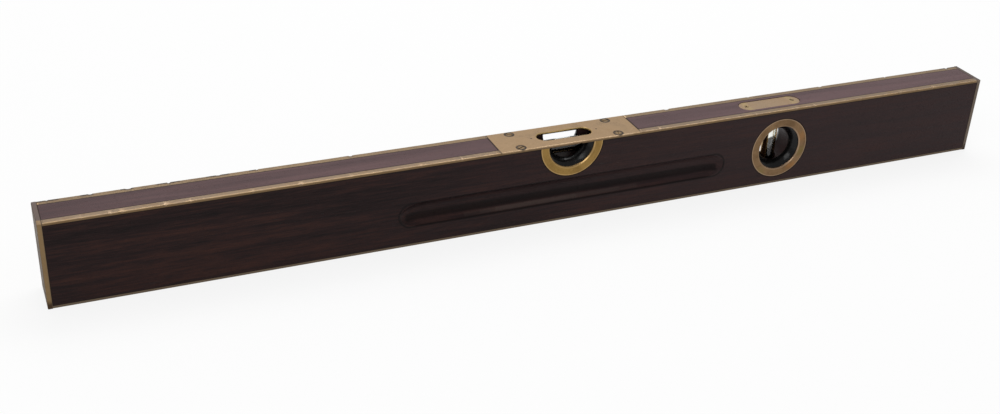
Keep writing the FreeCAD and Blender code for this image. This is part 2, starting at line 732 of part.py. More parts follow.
def make_plumb_spirit():
    """Make the spirit of the plumb vial, which leaves its air at the top."""
    body = new_body("plumb_vial_spirit")
    section = new_sketch(body, "section", "XZ_Plane")
    bore = "(plumb_glass_diameter / 2 - glass_wall - barrel_rise)"
    chamber = "(plumb_glass_length / 2 - glass_wall)"
    radius = barrel_radius(chamber)
    surface = "(plumb_glass_length / 2 - glass_wall - plumb_ullage)"
    wall = f"(({bore} + barrel_rise) - {radius} + sqrt(({radius}) ^ 2 - ({surface}) ^ 2))"
    draw_profile(section, [("0", minus(chamber)), (bore, minus(chamber)), (wall, surface),
                           ("0", surface)], {1: (radius, 1)})
    revolve(body, "Revolution", section, "V_Axis")
    return place(body, "plumb_port_position", height="plumb_port_height")


def make_level_tube():
    """Make the brass tube of the level vial, cut away to a cradle between its sleeves."""
    body = new_body("level_vial_tube")
    section = new_sketch(body, "section", "YZ_Plane")
    draw_circle(section, ("0", "0"), "level_tube_outer")
    extrude(body, "Pad", section, "level_tube_length", both_ways=True)
    bore = new_sketch(body, "bore", "YZ_Plane")
    draw_circle(bore, ("0", "0"), "level_tube_inner")
    extrude(body, "Pocket", bore, "level_tube_length", both_ways=True)
    window = new_sketch(body, "window", "XY_Plane", offset="cradle_rise - level_tube_outer")
    opening = "(level_tube_length / 2 - level_sleeve_length)"
    draw_box(window, (minus(opening), minus("level_tube_outer")), (opening, "level_tube_outer"))
    extrude(body, "Pocket", window, "2 * level_tube_outer", backwards=True)
    return place(body, height="level_axis_height")


def add_tongue(body, name, start, end):
    """Add a flat tongue along X, round at its far end, in the plane of the pivot."""
    sketch = new_sketch(body, name, "XY_Plane", offset="tongue_thickness / -2")
    half = "(tongue_width / 2)"
    toward = 1 if value_of(end) > value_of(start) else -1
    points = [(start, minus(half)), (end, minus(half)), (f"{end} + {toward} * {half}", "0"),
              (end, half), (start, half)]
    draw_profile(sketch, points, {1: (half, toward), 2: (half, toward)})
    return extrude(body, "Pad", sketch, "tongue_thickness")


def add_knuckle(body, name, position):
    """Add the bored barrel of a hinge across the end of a tongue."""
    sketch = new_sketch(body, name, "XZ_Plane", (position, "0"))
    draw_circle(sketch, ("0", "0"), "knuckle_diameter / 2")
    extrude(body, "Pad", sketch, "tongue_width", both_ways=True)
    hole = new_sketch(body, f"{name}_bore", "XZ_Plane", (position, "0"))
    draw_circle(hole, ("0", "0"), "pin_diameter / 2 + pin_clearance")
    return extrude(body, "Pocket", hole, f"tongue_width + {OVERCUT}", both_ways=True)


def bore_lug(body, name, position):
    """Bore a tongue for the adjusting screw."""
    hole = new_sketch(body, name, "XY_Plane", (position, "0"))
    draw_circle(hole, ("0", "0"), "thread_diameter / 2 + thread_clearance")
    return extrude(body, "Pocket", hole, f"tongue_thickness + {OVERCUT}", both_ways=True)


def make_level_end(label, side):
    """Make one end plug of the level tube, with its hinge knuckle or its lug."""
    body = new_body(label)
    face = f"({side} * level_tube_length / 2)"
    plug = new_sketch(body, "plug", "YZ_Plane", offset=face)
    draw_circle(plug, ("0", "0"), "level_tube_inner")
    extrude(body, "Pad", plug, "plug_length", backwards=side > 0)
    flange = new_sketch(body, "flange", "YZ_Plane", offset=face)
    draw_circle(flange, ("0", "0"), "level_tube_inner")
    extrude(body, "Pad", flange, "end_flange_thickness", backwards=side < 0)
    reach = f"({side} * level_reach)"
    if side < 0:
        tongue = new_sketch(body, "tongue", "XY_Plane", offset="tongue_thickness / -2")
        draw_box(tongue, (reach, minus("tongue_width / 2")), (face, "tongue_width / 2"))
        extrude(body, "Pad", tongue, "tongue_thickness")
        add_knuckle(body, "knuckle", reach)
    else:
        add_tongue(body, "tongue", face, reach)
        bore_lug(body, "lug", reach)
    return place(body, height="level_axis_height")


def make_plumb_tube():
    """Make the upright brass tube of the plumb vial, with a window on each face."""
    body = new_body("plumb_vial_tube")
    section = new_sketch(body, "section", "XY_Plane", offset="plumb_tube_bottom")
    draw_circle(section, ("0", "0"), "plumb_tube_outer")
    extrude(body, "Pad", section, "plumb_tube_length")
    bore = new_sketch(body, "bore", "XY_Plane", offset="plumb_tube_top")
    draw_circle(bore, ("0", "0"), "plumb_tube_inner")
    extrude(body, "Pocket", bore, "plumb_tube_length")
    window = new_sketch(body, "window", "XZ_Plane")
    draw_box(window, (minus("plumb_window_width / 2"), "plumb_tube_bottom + plumb_bottom_sleeve"),
             ("plumb_window_width / 2", "plumb_tube_top - plumb_top_sleeve"))
    extrude(body, "Pocket", window, f"2 * plumb_tube_outer + {OVERCUT}", both_ways=True)
    return place(body, "plumb_port_position", height="plumb_axis_height")


def make_plumb_arm():
    """Make the head of the plumb tube: a plug, a hinge knuckle and the adjusting lug."""
    body = new_body("plumb_vial_arm")
    head = new_sketch(body, "head", "XY_Plane", offset="tongue_thickness / -2")
    draw_circle(head, ("0", "0"), "plumb_tube_outer")
    extrude(body, "Pad", head, "tongue_thickness")
    plug = new_sketch(body, "plug", "XY_Plane", offset="tongue_thickness / -2")
    draw_circle(plug, ("0", "0"), "plumb_tube_inner")
    extrude(body, "Pad", plug, "plug_length", backwards=True)
    tongue = new_sketch(body, "hinge_tongue", "XY_Plane", offset="tongue_thickness / -2")
    draw_box(tongue, ("0", minus("tongue_width / 2")), ("plumb_pivot_reach", "tongue_width / 2"))
    extrude(body, "Pad", tongue, "tongue_thickness")
    add_tongue(body, "lug_tongue", "0", minus("plumb_lug_reach"))
    add_knuckle(body, "knuckle", "plumb_pivot_reach")
    bore_lug(body, "lug", minus("plumb_lug_reach"))
    return place(body, "plumb_port_position", height="plumb_axis_height")


def make_plaster(label, radius, stretches, along):
    """Make the plaster that beds a vial's ends, one disc for each stretch of its tube."""
    body = new_body(label)
    plane = "YZ_Plane" if along == "x" else "XY_Plane"
    for number, (start, end) in enumerate(stretches, start=1):
        disc = new_sketch(body, f"disc_{number}", plane, offset=start)
        draw_circle(disc, ("0", "0"), radius)
        extrude(body, "Pad", disc, f"{end} - ({start})")
    return body


def make_bracket(label, position, floor):
    """Make the folded hinge bracket: a base and two ears bored for the pin."""
    body = new_body(label)
    ear = new_sketch(body, "ear", "XZ_Plane")
    half = "(bracket_length / 2)"
    draw_profile(ear, [(minus(half), "0"), (half, "0"), (half, "mechanism_rise"),
                       ("0", f"mechanism_rise + {half}"), (minus(half), "mechanism_rise")],
                 {2: (half, 1), 3: (half, 1)})
    extrude(body, "Pad", ear, "2 * bracket_half_width", both_ways=True)
    gap = new_sketch(body, "gap", "YZ_Plane")
    draw_box(gap, (minus("bracket_half_gap"), "bracket_thickness"),
             ("bracket_half_gap", f"mechanism_rise + bracket_length / 2 + {OVERCUT}"))
    extrude(body, "Pocket", gap, f"bracket_length + {OVERCUT}", both_ways=True)
    hole = new_sketch(body, "pin_hole", "XZ_Plane", ("0", "mechanism_rise"))
    draw_circle(hole, ("0", "0"), "pin_diameter / 2")
    extrude(body, "Pocket", hole, f"2 * bracket_half_width + {OVERCUT}", both_ways=True)
    offset = "bracket_screw_offset" if value_of(position) > 0 else minus("bracket_screw_offset")
    cut_screw_hole(body, "screw", (offset, "0", "bracket_thickness"), SMALL_SCREW)
    return place(body, position, height=floor)


def make_pin(label, position, height):
    """Make the plain hinge pin, flush with the outsides of the ears."""
    body = new_body(label)
    section = new_sketch(body, "section", "XZ_Plane")
    draw_circle(section, ("0", "0"), "pin_diameter / 2")
    extrude(body, "Pad", section, "2 * bracket_half_width", both_ways=True)
    return place(body, position, height=height)


def make_foot(label, position, floor):
    """Make the plate that holds the adjusting screw's lower journal."""
    body = new_body(label)
    outline = new_sketch(body, "outline", "XY_Plane")
    draw_box(outline, (minus("foot_length / 2"), minus("foot_width / 2")),
             ("foot_length / 2", "foot_width / 2"))
    extrude(body, "Pad", outline, "foot_thickness")
    bearing = new_sketch(body, "bearing", "XZ_Plane")
    hole = "(journal_diameter / 2 + journal_clearance)"
    recess = "(collar_diameter / 2)"
    draw_profile(bearing, [("0", "0"), (recess, "0"), (recess, "foot_recess_depth"),
                           (hole, "foot_recess_depth"), (hole, "foot_thickness"),
                           ("0", "foot_thickness")])
    revolve(body, "Groove", bearing, "V_Axis")
    for number, depth in enumerate(FOOT_SCREW_DEPTHS, start=1):
        cut_screw_hole(body, f"screw_{number}", ("0", depth, "foot_thickness"), SMALL_SCREW)
    return place(body, position, height=floor)


def make_adjusting_screw(label, position, floor):
    """Make an adjusting screw, held by its collar and its riveted lower end."""
    body = new_body(label)
    turning = new_sketch(body, "turning", "XZ_Plane")
    flange = "(collar_diameter / 2 - 2 * journal_clearance)"
    journal, collar = "(journal_diameter / 2)", "(collar_diameter / 2)"
    thread, head = "(thread_diameter / 2)", "(adjuster_head_diameter / 2)"
    top = "adjuster_head_base + adjuster_head_height"
    draw_profile(turning, [
        ("0", "flange_top - flange_thickness"), (flange, "flange_top - flange_thickness"),
        (flange, "flange_top"), (journal, "flange_top"), (journal, "collar_base"),
        (collar, "collar_base"), (collar, "collar_base + collar_thickness"),
        (thread, "collar_base + collar_thickness"), (thread, "adjuster_head_base"),
        (head, "adjuster_head_base"), (head, top), ("0", top)])
    revolve(body, "Revolution", turning, "V_Axis")
    slot = new_sketch(body, "slot", "XY_Plane", offset=top)
    draw_box(slot, (minus("adjuster_head_diameter"), minus("driver_slot_width / 2")),
             ("adjuster_head_diameter", "driver_slot_width / 2"))
    extrude(body, "Pocket", slot, "driver_slot_depth")
    return place(body, position, height=floor)


def make_spring(label, position, floor):
    """Make the wire spring that presses the lug up from its foot."""
    body = new_body(label)
    wire = new_sketch(body, "wire", "XZ_Plane")
    draw_circle(wire, ("spring_coil_diameter / 2", "spring_base"), "spring_wire_diameter / 2")
    coil = body.newObject("PartDesign::AdditiveHelix", f"{body.Name}_coil")
    coil.Profile = wire
    coil.ReferenceAxis = (wire, ["V_Axis"])
    coil.Mode = "height-turns-angle"
    bind(coil, "Height", "spring_rise")
    bind(coil, "Turns", "spring_turns")
    return place(body, position, height=floor)


def make_binding():
    """Make the four edge rods, the end plates and the screws of the end plates."""
    pieces = [
        make_rod("binding_rod_top_front", turned((0, 0, 1), 0), True, nicked=True),
        make_rod("binding_rod_top_rear", turned((0, 0, 1), 180), True),
        make_rod("binding_rod_bottom_front", turned((0, 1, 0), 180), False),
        make_rod("binding_rod_bottom_rear", turned((1, 0, 0), 180), False),
        make_end_plate("end_plate_left", -1),
        make_end_plate("end_plate_right", 1),
    ]
    places = []
    for side in (-1, 1):
        for height in END_SCREW_HEIGHTS:
            places.append(((f"{side} * overall_length / 2", "0", height),
                           turned((0, 1, 0), side * 90)))
    master = screw_master("end_screw", END_SCREW)
    return pieces + [screw_group("end_plate_screws", master, places)]


def make_plates():
    """Make the top plate, the plumb cover and their screws."""
    quarter_turns = (25, -40, 70, 10)
    plate_places = [((across, depth, "stock_height"), turned((0, 0, 1), angle))
                    for (across, depth), angle in zip(PLATE_SCREW_PLACES, quarter_turns)]
    cover_places = [((across, "0", "stock_height - cover_sink"), turned((0, 0, 1), angle))
                    for across, angle in zip(COVER_SCREW_PLACES, quarter_turns)]
    return [
        make_top_plate(),
        screw_group("top_plate_screws", screw_master("plate_screw", PLATE_SCREW), plate_places),
        make_cover_plate(),
        screw_group("plumb_cover_screws", screw_master("cover_screw", COVER_SCREW), cover_places),
    ]


def make_ports():
    """Make the rings and the liners of both ports."""
    pieces = []
    for name, position, height, angle in (
            ("level", "0", "level_port_height", 180.0),
            ("plumb", "plumb_port_position", "plumb_port_height", 360.0)):
        for face, side in (("front", -1), ("rear", 1)):
            pieces.append(make_ring(f"{name}_port_ring_{face}", position, height, side, angle))
            pieces.append(make_liner(f"{name}_port_liner_{face}", position, height, side, angle))
    return pieces


def make_level_mechanism():
    """Make the level vial in its tube, with its hinge and its adjusting screw."""
    glass = make_glass("level_vial_glass", "level_glass_diameter", "level_glass_length")
    place(glass, height="level_axis_height", rotation=turned((0, 1, 0), 90))
    glass_end = "(level_glass_length / 2)"
    plaster = make_plaster("level_vial_plaster", "level_tube_inner",
                           [(minus("level_bedding"), minus(glass_end)),
                            (glass_end, "level_bedding")], "x")
    place(plaster, height="level_axis_height")
    return [
        make_level_tube(),
        make_level_end("level_vial_hinge_end", -1),
        make_level_end("level_vial_lug_end", 1),
        glass,
        make_level_spirit(),
        plaster,
        make_bracket("level_hinge_bracket", minus("level_reach"), "level_floor_height"),
        make_pin("level_hinge_pin", minus("level_reach"), "level_axis_height"),
        make_foot("level_adjuster_foot", "level_reach", "level_floor_height"),
        make_adjusting_screw("level_adjusting_screw", "level_reach", "level_floor_height"),
        make_spring("level_adjusting_spring", "level_reach", "level_floor_height"),
    ]


def make_plumb_mechanism():
    """Make the plumb vial in its upright tube, with its hinge and its adjusting screw."""
    glass = make_glass("plumb_vial_glass", "plumb_glass_diameter", "plumb_glass_length")
    place(glass, "plumb_port_position", height="plumb_port_height")
    glass_low = "(plumb_glass_height - plumb_glass_length / 2)"
    glass_high = "(plumb_glass_height + plumb_glass_length / 2)"
    plaster = make_plaster("plumb_vial_plaster", "plumb_tube_inner",
                           [("plumb_tube_bottom", glass_low),
                            (glass_high, "plumb_tube_top - plug_length")], "z")
    place(plaster, "plumb_port_position", height="plumb_axis_height")
    return [
        make_plumb_tube(),
        make_plumb_arm(),
        glass,
        make_plumb_spirit(),
        plaster,
        make_bracket("plumb_hinge_bracket", "plumb_pivot_position", "plumb_floor_height"),
        make_pin("plumb_hinge_pin", "plumb_pivot_position", "plumb_axis_height"),
        make_foot("plumb_adjuster_foot", "plumb_lug_position", "plumb_floor_height"),
        make_adjusting_screw("plumb_adjusting_screw", "plumb_lug_position", "plumb_floor_height"),
        make_spring("plumb_adjusting_spring", "plumb_lug_position", "plumb_floor_height"),
    ]


def make_small_screws():
    """Make the wood screws that hold the brackets and the feet."""
    master = screw_master("small_screw", SMALL_SCREW)
    level = turned((0, 0, 1), 30)
    bracket_places = [((across, "0", f"{floor} + bracket_thickness"), level)
                      for across, floor in BRACKET_SCREW_PLACES]
    foot_places = [((across, depth, f"{floor} + foot_thickness"), level)
                   for across, floor in FOOT_PLACES for depth in FOOT_SCREW_DEPTHS]
    return [screw_group("hinge_bracket_screws", master, bracket_places),
            screw_group("adjuster_foot_screws", master, foot_places)]


def check_document(pieces):
    """Raise an error where a feature failed, cut nothing or left no valid shape."""
    for item in DOC.Objects:
        if {"Invalid", "Error"} & set(item.State):
            raise RuntimeError(f"{item.Label} did not compute: {item.State}")
        if item.TypeId in ("PartDesign::Pocket", "PartDesign::Groove"):
            if item.Shape.Volume > item.BaseFeature.Shape.Volume - 1e-6:
                raise RuntimeError(f"{item.Label} cuts nothing")
    for piece in pieces:
        if piece.Shape.isNull() or not piece.Shape.isValid():
            raise RuntimeError(f"{piece.Label} has no valid shape")


def main():
    """Build the level, check it and write one file for each piece."""
    fill_sheet()
    pieces = [make_stock()]
    for make in (make_binding, make_plates, make_ports, make_level_mechanism,
                 make_plumb_mechanism, make_small_screws):
        pieces.extend(make())
    DOC.recompute()
    check_document(pieces)
    os.makedirs("parts", exist_ok=True)
    for piece in pieces:
        piece.Shape.exportStep(f"parts/{piece.Label}.step")
        print(f"{piece.Label}: {len(piece.Shape.Solids)} solids, {piece.Shape.Volume:.1f} mm3")


main()
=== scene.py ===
"""Looks of a brass-bound plumb and level: its finishes, its wear, its vials and the studio."""

import logging
import math
from dataclasses import dataclass, field
from enum import Enum

import bmesh
import bpy
from mathutils import Matrix, Quaternion, Vector, noise


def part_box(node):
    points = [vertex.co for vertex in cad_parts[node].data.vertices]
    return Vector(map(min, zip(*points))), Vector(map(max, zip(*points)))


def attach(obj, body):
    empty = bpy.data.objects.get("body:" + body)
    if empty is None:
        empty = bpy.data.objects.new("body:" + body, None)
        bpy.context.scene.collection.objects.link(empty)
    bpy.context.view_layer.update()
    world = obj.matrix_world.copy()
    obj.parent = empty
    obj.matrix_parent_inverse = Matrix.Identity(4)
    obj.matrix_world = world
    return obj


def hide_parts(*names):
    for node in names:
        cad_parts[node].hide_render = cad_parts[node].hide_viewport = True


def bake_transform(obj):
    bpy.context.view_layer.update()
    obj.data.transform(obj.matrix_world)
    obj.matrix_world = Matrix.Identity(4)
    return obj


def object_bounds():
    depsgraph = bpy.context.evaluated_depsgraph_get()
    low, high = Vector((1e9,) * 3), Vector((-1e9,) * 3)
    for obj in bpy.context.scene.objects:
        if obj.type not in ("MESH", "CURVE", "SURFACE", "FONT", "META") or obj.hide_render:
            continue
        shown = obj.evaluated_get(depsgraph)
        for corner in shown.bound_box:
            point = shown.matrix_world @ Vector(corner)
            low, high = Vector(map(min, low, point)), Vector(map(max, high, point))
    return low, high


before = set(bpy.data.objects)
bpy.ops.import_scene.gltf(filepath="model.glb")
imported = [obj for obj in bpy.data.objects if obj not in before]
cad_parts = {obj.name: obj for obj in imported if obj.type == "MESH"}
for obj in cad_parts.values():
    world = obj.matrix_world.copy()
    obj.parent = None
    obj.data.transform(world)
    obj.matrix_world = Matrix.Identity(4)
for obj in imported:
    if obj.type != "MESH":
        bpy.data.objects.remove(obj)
CAD_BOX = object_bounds()
MM = 0.001

# The ports' centres, along and up, and the radius of their rings' counterbores, in millimetres.
LEVEL_PORT = (0.0, 63.1)
PLUMB_PORT = (186.2, 31.6)
COUNTERBORE = 25.5

# The middle of a plate screw, and the circle through the middles of both cover screws.
PLATE_SCREW = (40.0, 11.3)
COVER_SCREWS = ((181.3, 0.0), 21.1)

# Points that are nearer than this are one, in metres.
MERGE = 1e-6

# Faces that meet at more than this are shaded as two.
SHARP_ANGLE = math.radians(35.0)

# How light goes through the vials, and how steeply the painted shade in the plumb vial lies.
GLASS_INDEX = 1.50
SPIRIT_INDEX = 1.36
PLUMB_SLANT = 1.9

Colour = tuple[float, float, float]
Triple = tuple[float, float, float]
GLASS_TINT: Colour = (0.93, 0.97, 0.93)
logging.basicConfig(level=logging.INFO, format="%(message)s")
log = logging.getLogger("level")


class Axis(Enum):
    """An axis of the level's frame, as the index of its coordinate."""

    LENGTH = 0
    DEPTH = 1
    HEIGHT = 2


class Graph:
    """The node tree of one material, put together by short calls."""

    def __init__(self, name: str) -> None:
        """Start an empty material.

        Args:
            name: The material's name.
        """
        self.material = bpy.data.materials.new(name)
        self.material.use_nodes = True
        self.tree = self.material.node_tree
        self.tree.nodes.clear()
        self.output = self.tree.nodes.new("ShaderNodeOutputMaterial")
        self.place = self.node("ShaderNodeTexCoord").outputs["Object"]

    def feed(self, socket: bpy.types.NodeSocket, value: object) -> None:
        """Link a socket to another, or set its value.

        Args:
            socket: The input to fill.
            value: An output socket, a number, a colour of three numbers or a vector.
        """
        if isinstance(value, bpy.types.NodeSocket):
            self.tree.links.new(value, socket)
        elif socket.type == "RGBA":
            socket.default_value = (*value, 1.0)
        else:
            socket.default_value = value

    def node(self, kind: str, inputs: dict | None = None, **settings: object) -> bpy.types.Node:
        """Add one node.

        Args:
            kind: The node's type.
            inputs: What its inputs get, by name or number.
            **settings: Its own settings.

        Returns:
            The new node.
        """
        node = self.tree.nodes.new(kind)
        for name, value in settings.items():
            setattr(node, name, value)
        for key, value in (inputs or {}).items():
            self.feed(node.inputs[key], value)
        return node

    def stretched(self, scale: Triple, shift: Triple = (0.0, 0.0, 0.0),
                  tilt: float = 0.0) -> bpy.types.NodeSocket:
        """Return the object coordinates, scaled along each axis.

        Args:
            scale: Cells of pattern in each metre, along each axis.
            shift: How far the pattern is moved, in cells.
            tilt: How far it is turned about the depth axis, in radians.

        Returns:
            The scaled coordinates.
        """
        return self.node("ShaderNodeMapping", {
            "Vector": self.place, "Location": shift, "Rotation": (0.0, tilt, 0.0),
            "Scale": scale}).outputs["Vector"]

    def noise(self, scale: Triple, detail: float = 4.0, roughness: float = 0.55,
              distortion: float = 0.0, **place: object) -> bpy.types.NodeSocket:
        """Return a noise that is stretched along the axes.

        Args:
            scale: Its cells in each metre, along each axis.
            detail: How many finer layers it has.
            roughness: How strong the finer layers are.
            distortion: How much it is warped.
            **place: Its shift and its tilt, as the method stretched takes them.

        Returns:
            The noise, from 0 to 1.
        """
        return self.node("ShaderNodeTexNoise", {
            "Vector": self.stretched(scale, **place), "Scale": 1.0, "Detail": detail,
            "Roughness": roughness, "Distortion": distortion}).outputs["Fac"]

    def ragged(self) -> bpy.types.NodeSocket:
        """Return the noise that frays the borders of zones and of dirt."""
        return self.noise((330.0,) * 3, 4.0, 0.65, shift=(9.0, 2.0, 4.0))

    def cells(self, scale: Triple) -> bpy.types.NodeSocket:
        """Return how far each place is from the middle of its cell.

        Args:
            scale: The cells in each metre, along each axis.

        Returns:
            The distance, in cells.
        """
        return self.node("ShaderNodeTexVoronoi", {"Vector": self.stretched(scale),
                                                  "Scale": 1.0}).outputs["Distance"]

    def sums(self, operation: str, *values: object) -> bpy.types.NodeSocket:
        """Return the outcome of one sum on numbers.

        Args:
            operation: The Math node's operation.
            *values: Its inputs.

        Returns:
            The outcome.
        """
        return self.node("ShaderNodeMath", dict(enumerate(values)),
                         operation=operation).outputs["Value"]

    def step(self, value: bpy.types.NodeSocket, low: float, high: float,
             start: float = 0.0, end: float = 1.0) -> bpy.types.NodeSocket:
        """Return a smooth step between two limits.

        Args:
            value: What is compared with the limits.
            low: Where the step begins.
            high: Where it ends.
            start: The outcome before it.
            end: The outcome after it.

        Returns:
            The stepped value.
        """
        return self.node("ShaderNodeMapRange", {
            "Value": value, "From Min": low, "From Max": high, "To Min": start, "To Max": end},
            interpolation_type="SMOOTHSTEP").outputs["Result"]

    def blend(self, share: object, first: object, second: object) -> bpy.types.NodeSocket:
        """Return a mix of two colours.

        Args:
            share: How much of the second colour there is, from 0 to 1.
            first: The first colour.
            second: The second colour.

        Returns:
            The mixed colour.
        """
        mix = self.tree.nodes.new("ShaderNodeMix")
        mix.data_type = "RGBA"
        self.feed(mix.inputs[0], share)
        self.feed(mix.inputs[6], first)
        self.feed(mix.inputs[7], second)
        return mix.outputs[2]

    def ramp(self, share: bpy.types.NodeSocket,
             stops: tuple[tuple[float, Colour], ...]) -> bpy.types.NodeSocket:
        """Return a colour read off a ramp.

        Args:
            share: Where on the ramp, from 0 to 1.
            stops: The ramp's places and colours, in order.

        Returns:
            The colour.
        """
        node = self.node("ShaderNodeValToRGB", {"Fac": share})
        elements = node.color_ramp.elements
        while len(elements) < len(stops):
            elements.new(1.0)
        for element, (position, colour) in zip(elements, stops):
            element.position = position
            element.color = (*colour, 1.0)
        return node.outputs["Color"]

    def coordinate(self, axis: Axis, folded: bool = False) -> bpy.types.NodeSocket:
        """Return one coordinate in metres.

        Args:
            axis: Which one.
            folded: Whether both of its sides count as one.

        Returns:
            The coordinate, or its size if it is folded.
        """
        parts = self.node("ShaderNodeSeparateXYZ", {"Vector": self.place})
        value = parts.outputs[axis.value]
        return self.sums("ABSOLUTE", value) if folded else value

    def bump(self, height: bpy.types.NodeSocket, depth: float) -> bpy.types.NodeSocket:
        """Return a normal bent by a height.

        Args:
            height: The relief, from 0 to 1.
            depth: How deep the relief is, in metres.

        Returns:
            The bent normal.
        """
        return self.node("ShaderNodeBump", {"Height": height, "Distance": depth,
                                            "Strength": 1.0}).outputs["Normal"]

    def finish(self, **inputs: object) -> bpy.types.Material:
        """Close the tree with a Principled shader.

        Args:
            **inputs: The shader's inputs, with _ for each space in their names.

        Returns:
            The material.
        """
        values = {key.replace("_", " "): value for key, value in inputs.items()}
        shader = self.node("ShaderNodeBsdfPrincipled", values)
        self.feed(self.output.inputs["Surface"], shader.outputs["BSDF"])
        return self.material


@dataclass(frozen=True)
class Zone:
    """A part of the level between limits along its axes, with soft, shaky borders.

    Attributes:
        limits: Each axis that is limited, with its limits, in millimetres.
        soft: How wide the borders are, in millimetres.
        folded: Whether both sides along and across count as one.
        shake: How far the borders wander, in millimetres.
    """

    limits: tuple[tuple[Axis, float, float], ...]
    soft: float = 0.3
    folded: bool = True
    shake: float = 0.0

    def mask(self, graph: Graph) -> bpy.types.NodeSocket:
        """Return 1 inside the zone and 0 outside it.

        Args:
            graph: The material that it is added to.

        Returns:
            The mask.
        """
        mask = None
        for axis, low, high in self.limits:
            place = graph.coordinate(axis, folded=self.folded and axis is not Axis.HEIGHT)
            gap = graph.sums("ABSOLUTE", graph.sums("SUBTRACT", place, (low + high) / 2 * MM))
            if self.shake:
                gap = graph.sums("ADD", gap, graph.sums("MULTIPLY_ADD", graph.ragged(),
                                                        2 * self.shake * MM, -self.shake * MM))
            half = (high - low) / 2
            inside = graph.step(gap, (half - self.soft) * MM, half * MM, 1.0, 0.0)
            mask = inside if mask is None else graph.sums("MULTIPLY", mask, inside)
        return mask


@dataclass(frozen=True)
class Outline:
    """A soft line round a hole or a head: a circle, or two half circles joined by straights.

    Attributes:
        centre: Its centre, along and across, in millimetres.
        radius: The circle's radius, in millimetres.
        half: Half of the line's width, in millimetres.
        across: The axis that it lies in besides the length.
        straight: Half of a straight's length, in millimetres.
        folded: Whether both sides along and across count as one.
        core: The share of the line's width that has its full strength.
    """

    centre: tuple[float, float]
    radius: float
    half: float
    across: Axis = Axis.DEPTH
    straight: float = 0.0
    folded: bool = True
    core: float = 0.35

    def mask(self, graph: Graph) -> bpy.types.NodeSocket:
        """Return 1 on the line and 0 away from it.

        Args:
            graph: The material that it is added to.

        Returns:
            The mask.
        """
        first = graph.sums("SUBTRACT", graph.coordinate(Axis.LENGTH, self.folded),
                           self.centre[0] * MM)
        if self.straight:
            first = graph.sums("MAXIMUM", graph.sums(
                "SUBTRACT", graph.sums("ABSOLUTE", first), self.straight * MM), 0.0)
        second = graph.sums("SUBTRACT", graph.coordinate(
            self.across, self.folded and self.across is not Axis.HEIGHT), self.centre[1] * MM)
        reach = graph.sums("SQRT", graph.sums("MULTIPLY_ADD", first, first,
                                              graph.sums("MULTIPLY", second, second)))
        gap = graph.sums("ABSOLUTE", graph.sums("SUBTRACT", reach, self.radius * MM))
        return graph.step(gap, self.core * self.half * MM, self.half * MM, 1.0, 0.0)


@dataclass(frozen=True)
class Patch:
    """A place on a surface with the colour that it has there.

    Attributes:
        where: The place.
        colour: Its colour.
        share: How much of what lies under it is covered.
        broken: Whether it is laid down in stretches with gaps between them.
    """

    where: Zone | Outline
    colour: Colour
    share: float = 1.0
    broken: bool = False

    def over(self, graph: Graph, colour: bpy.types.NodeSocket) -> bpy.types.NodeSocket:
        """Return a colour with this patch laid over it.

        Args:
            graph: The material that it is added to.
            colour: What lies under it.

        Returns:
            The colour of both.
        """
        share = graph.sums("MULTIPLY", self.where.mask(graph), self.share)
        if self.broken:
            gaps = graph.noise((110.0, 300.0, 300.0), 3.0, 0.6, shift=(1.0, 6.0, 2.0))
            share = graph.sums("MULTIPLY", share, graph.step(gaps, 0.34, 0.58, 0.15, 1.0))
        return graph.blend(share, colour, self.colour)


# The long edges between the top and both faces, which carry rubbed metal and a painted highlight.
TOP_ARRIS = Zone(((Axis.DEPTH, 14.6, 16.0), (Axis.HEIGHT, 64.55, 65.6)), 0.2)


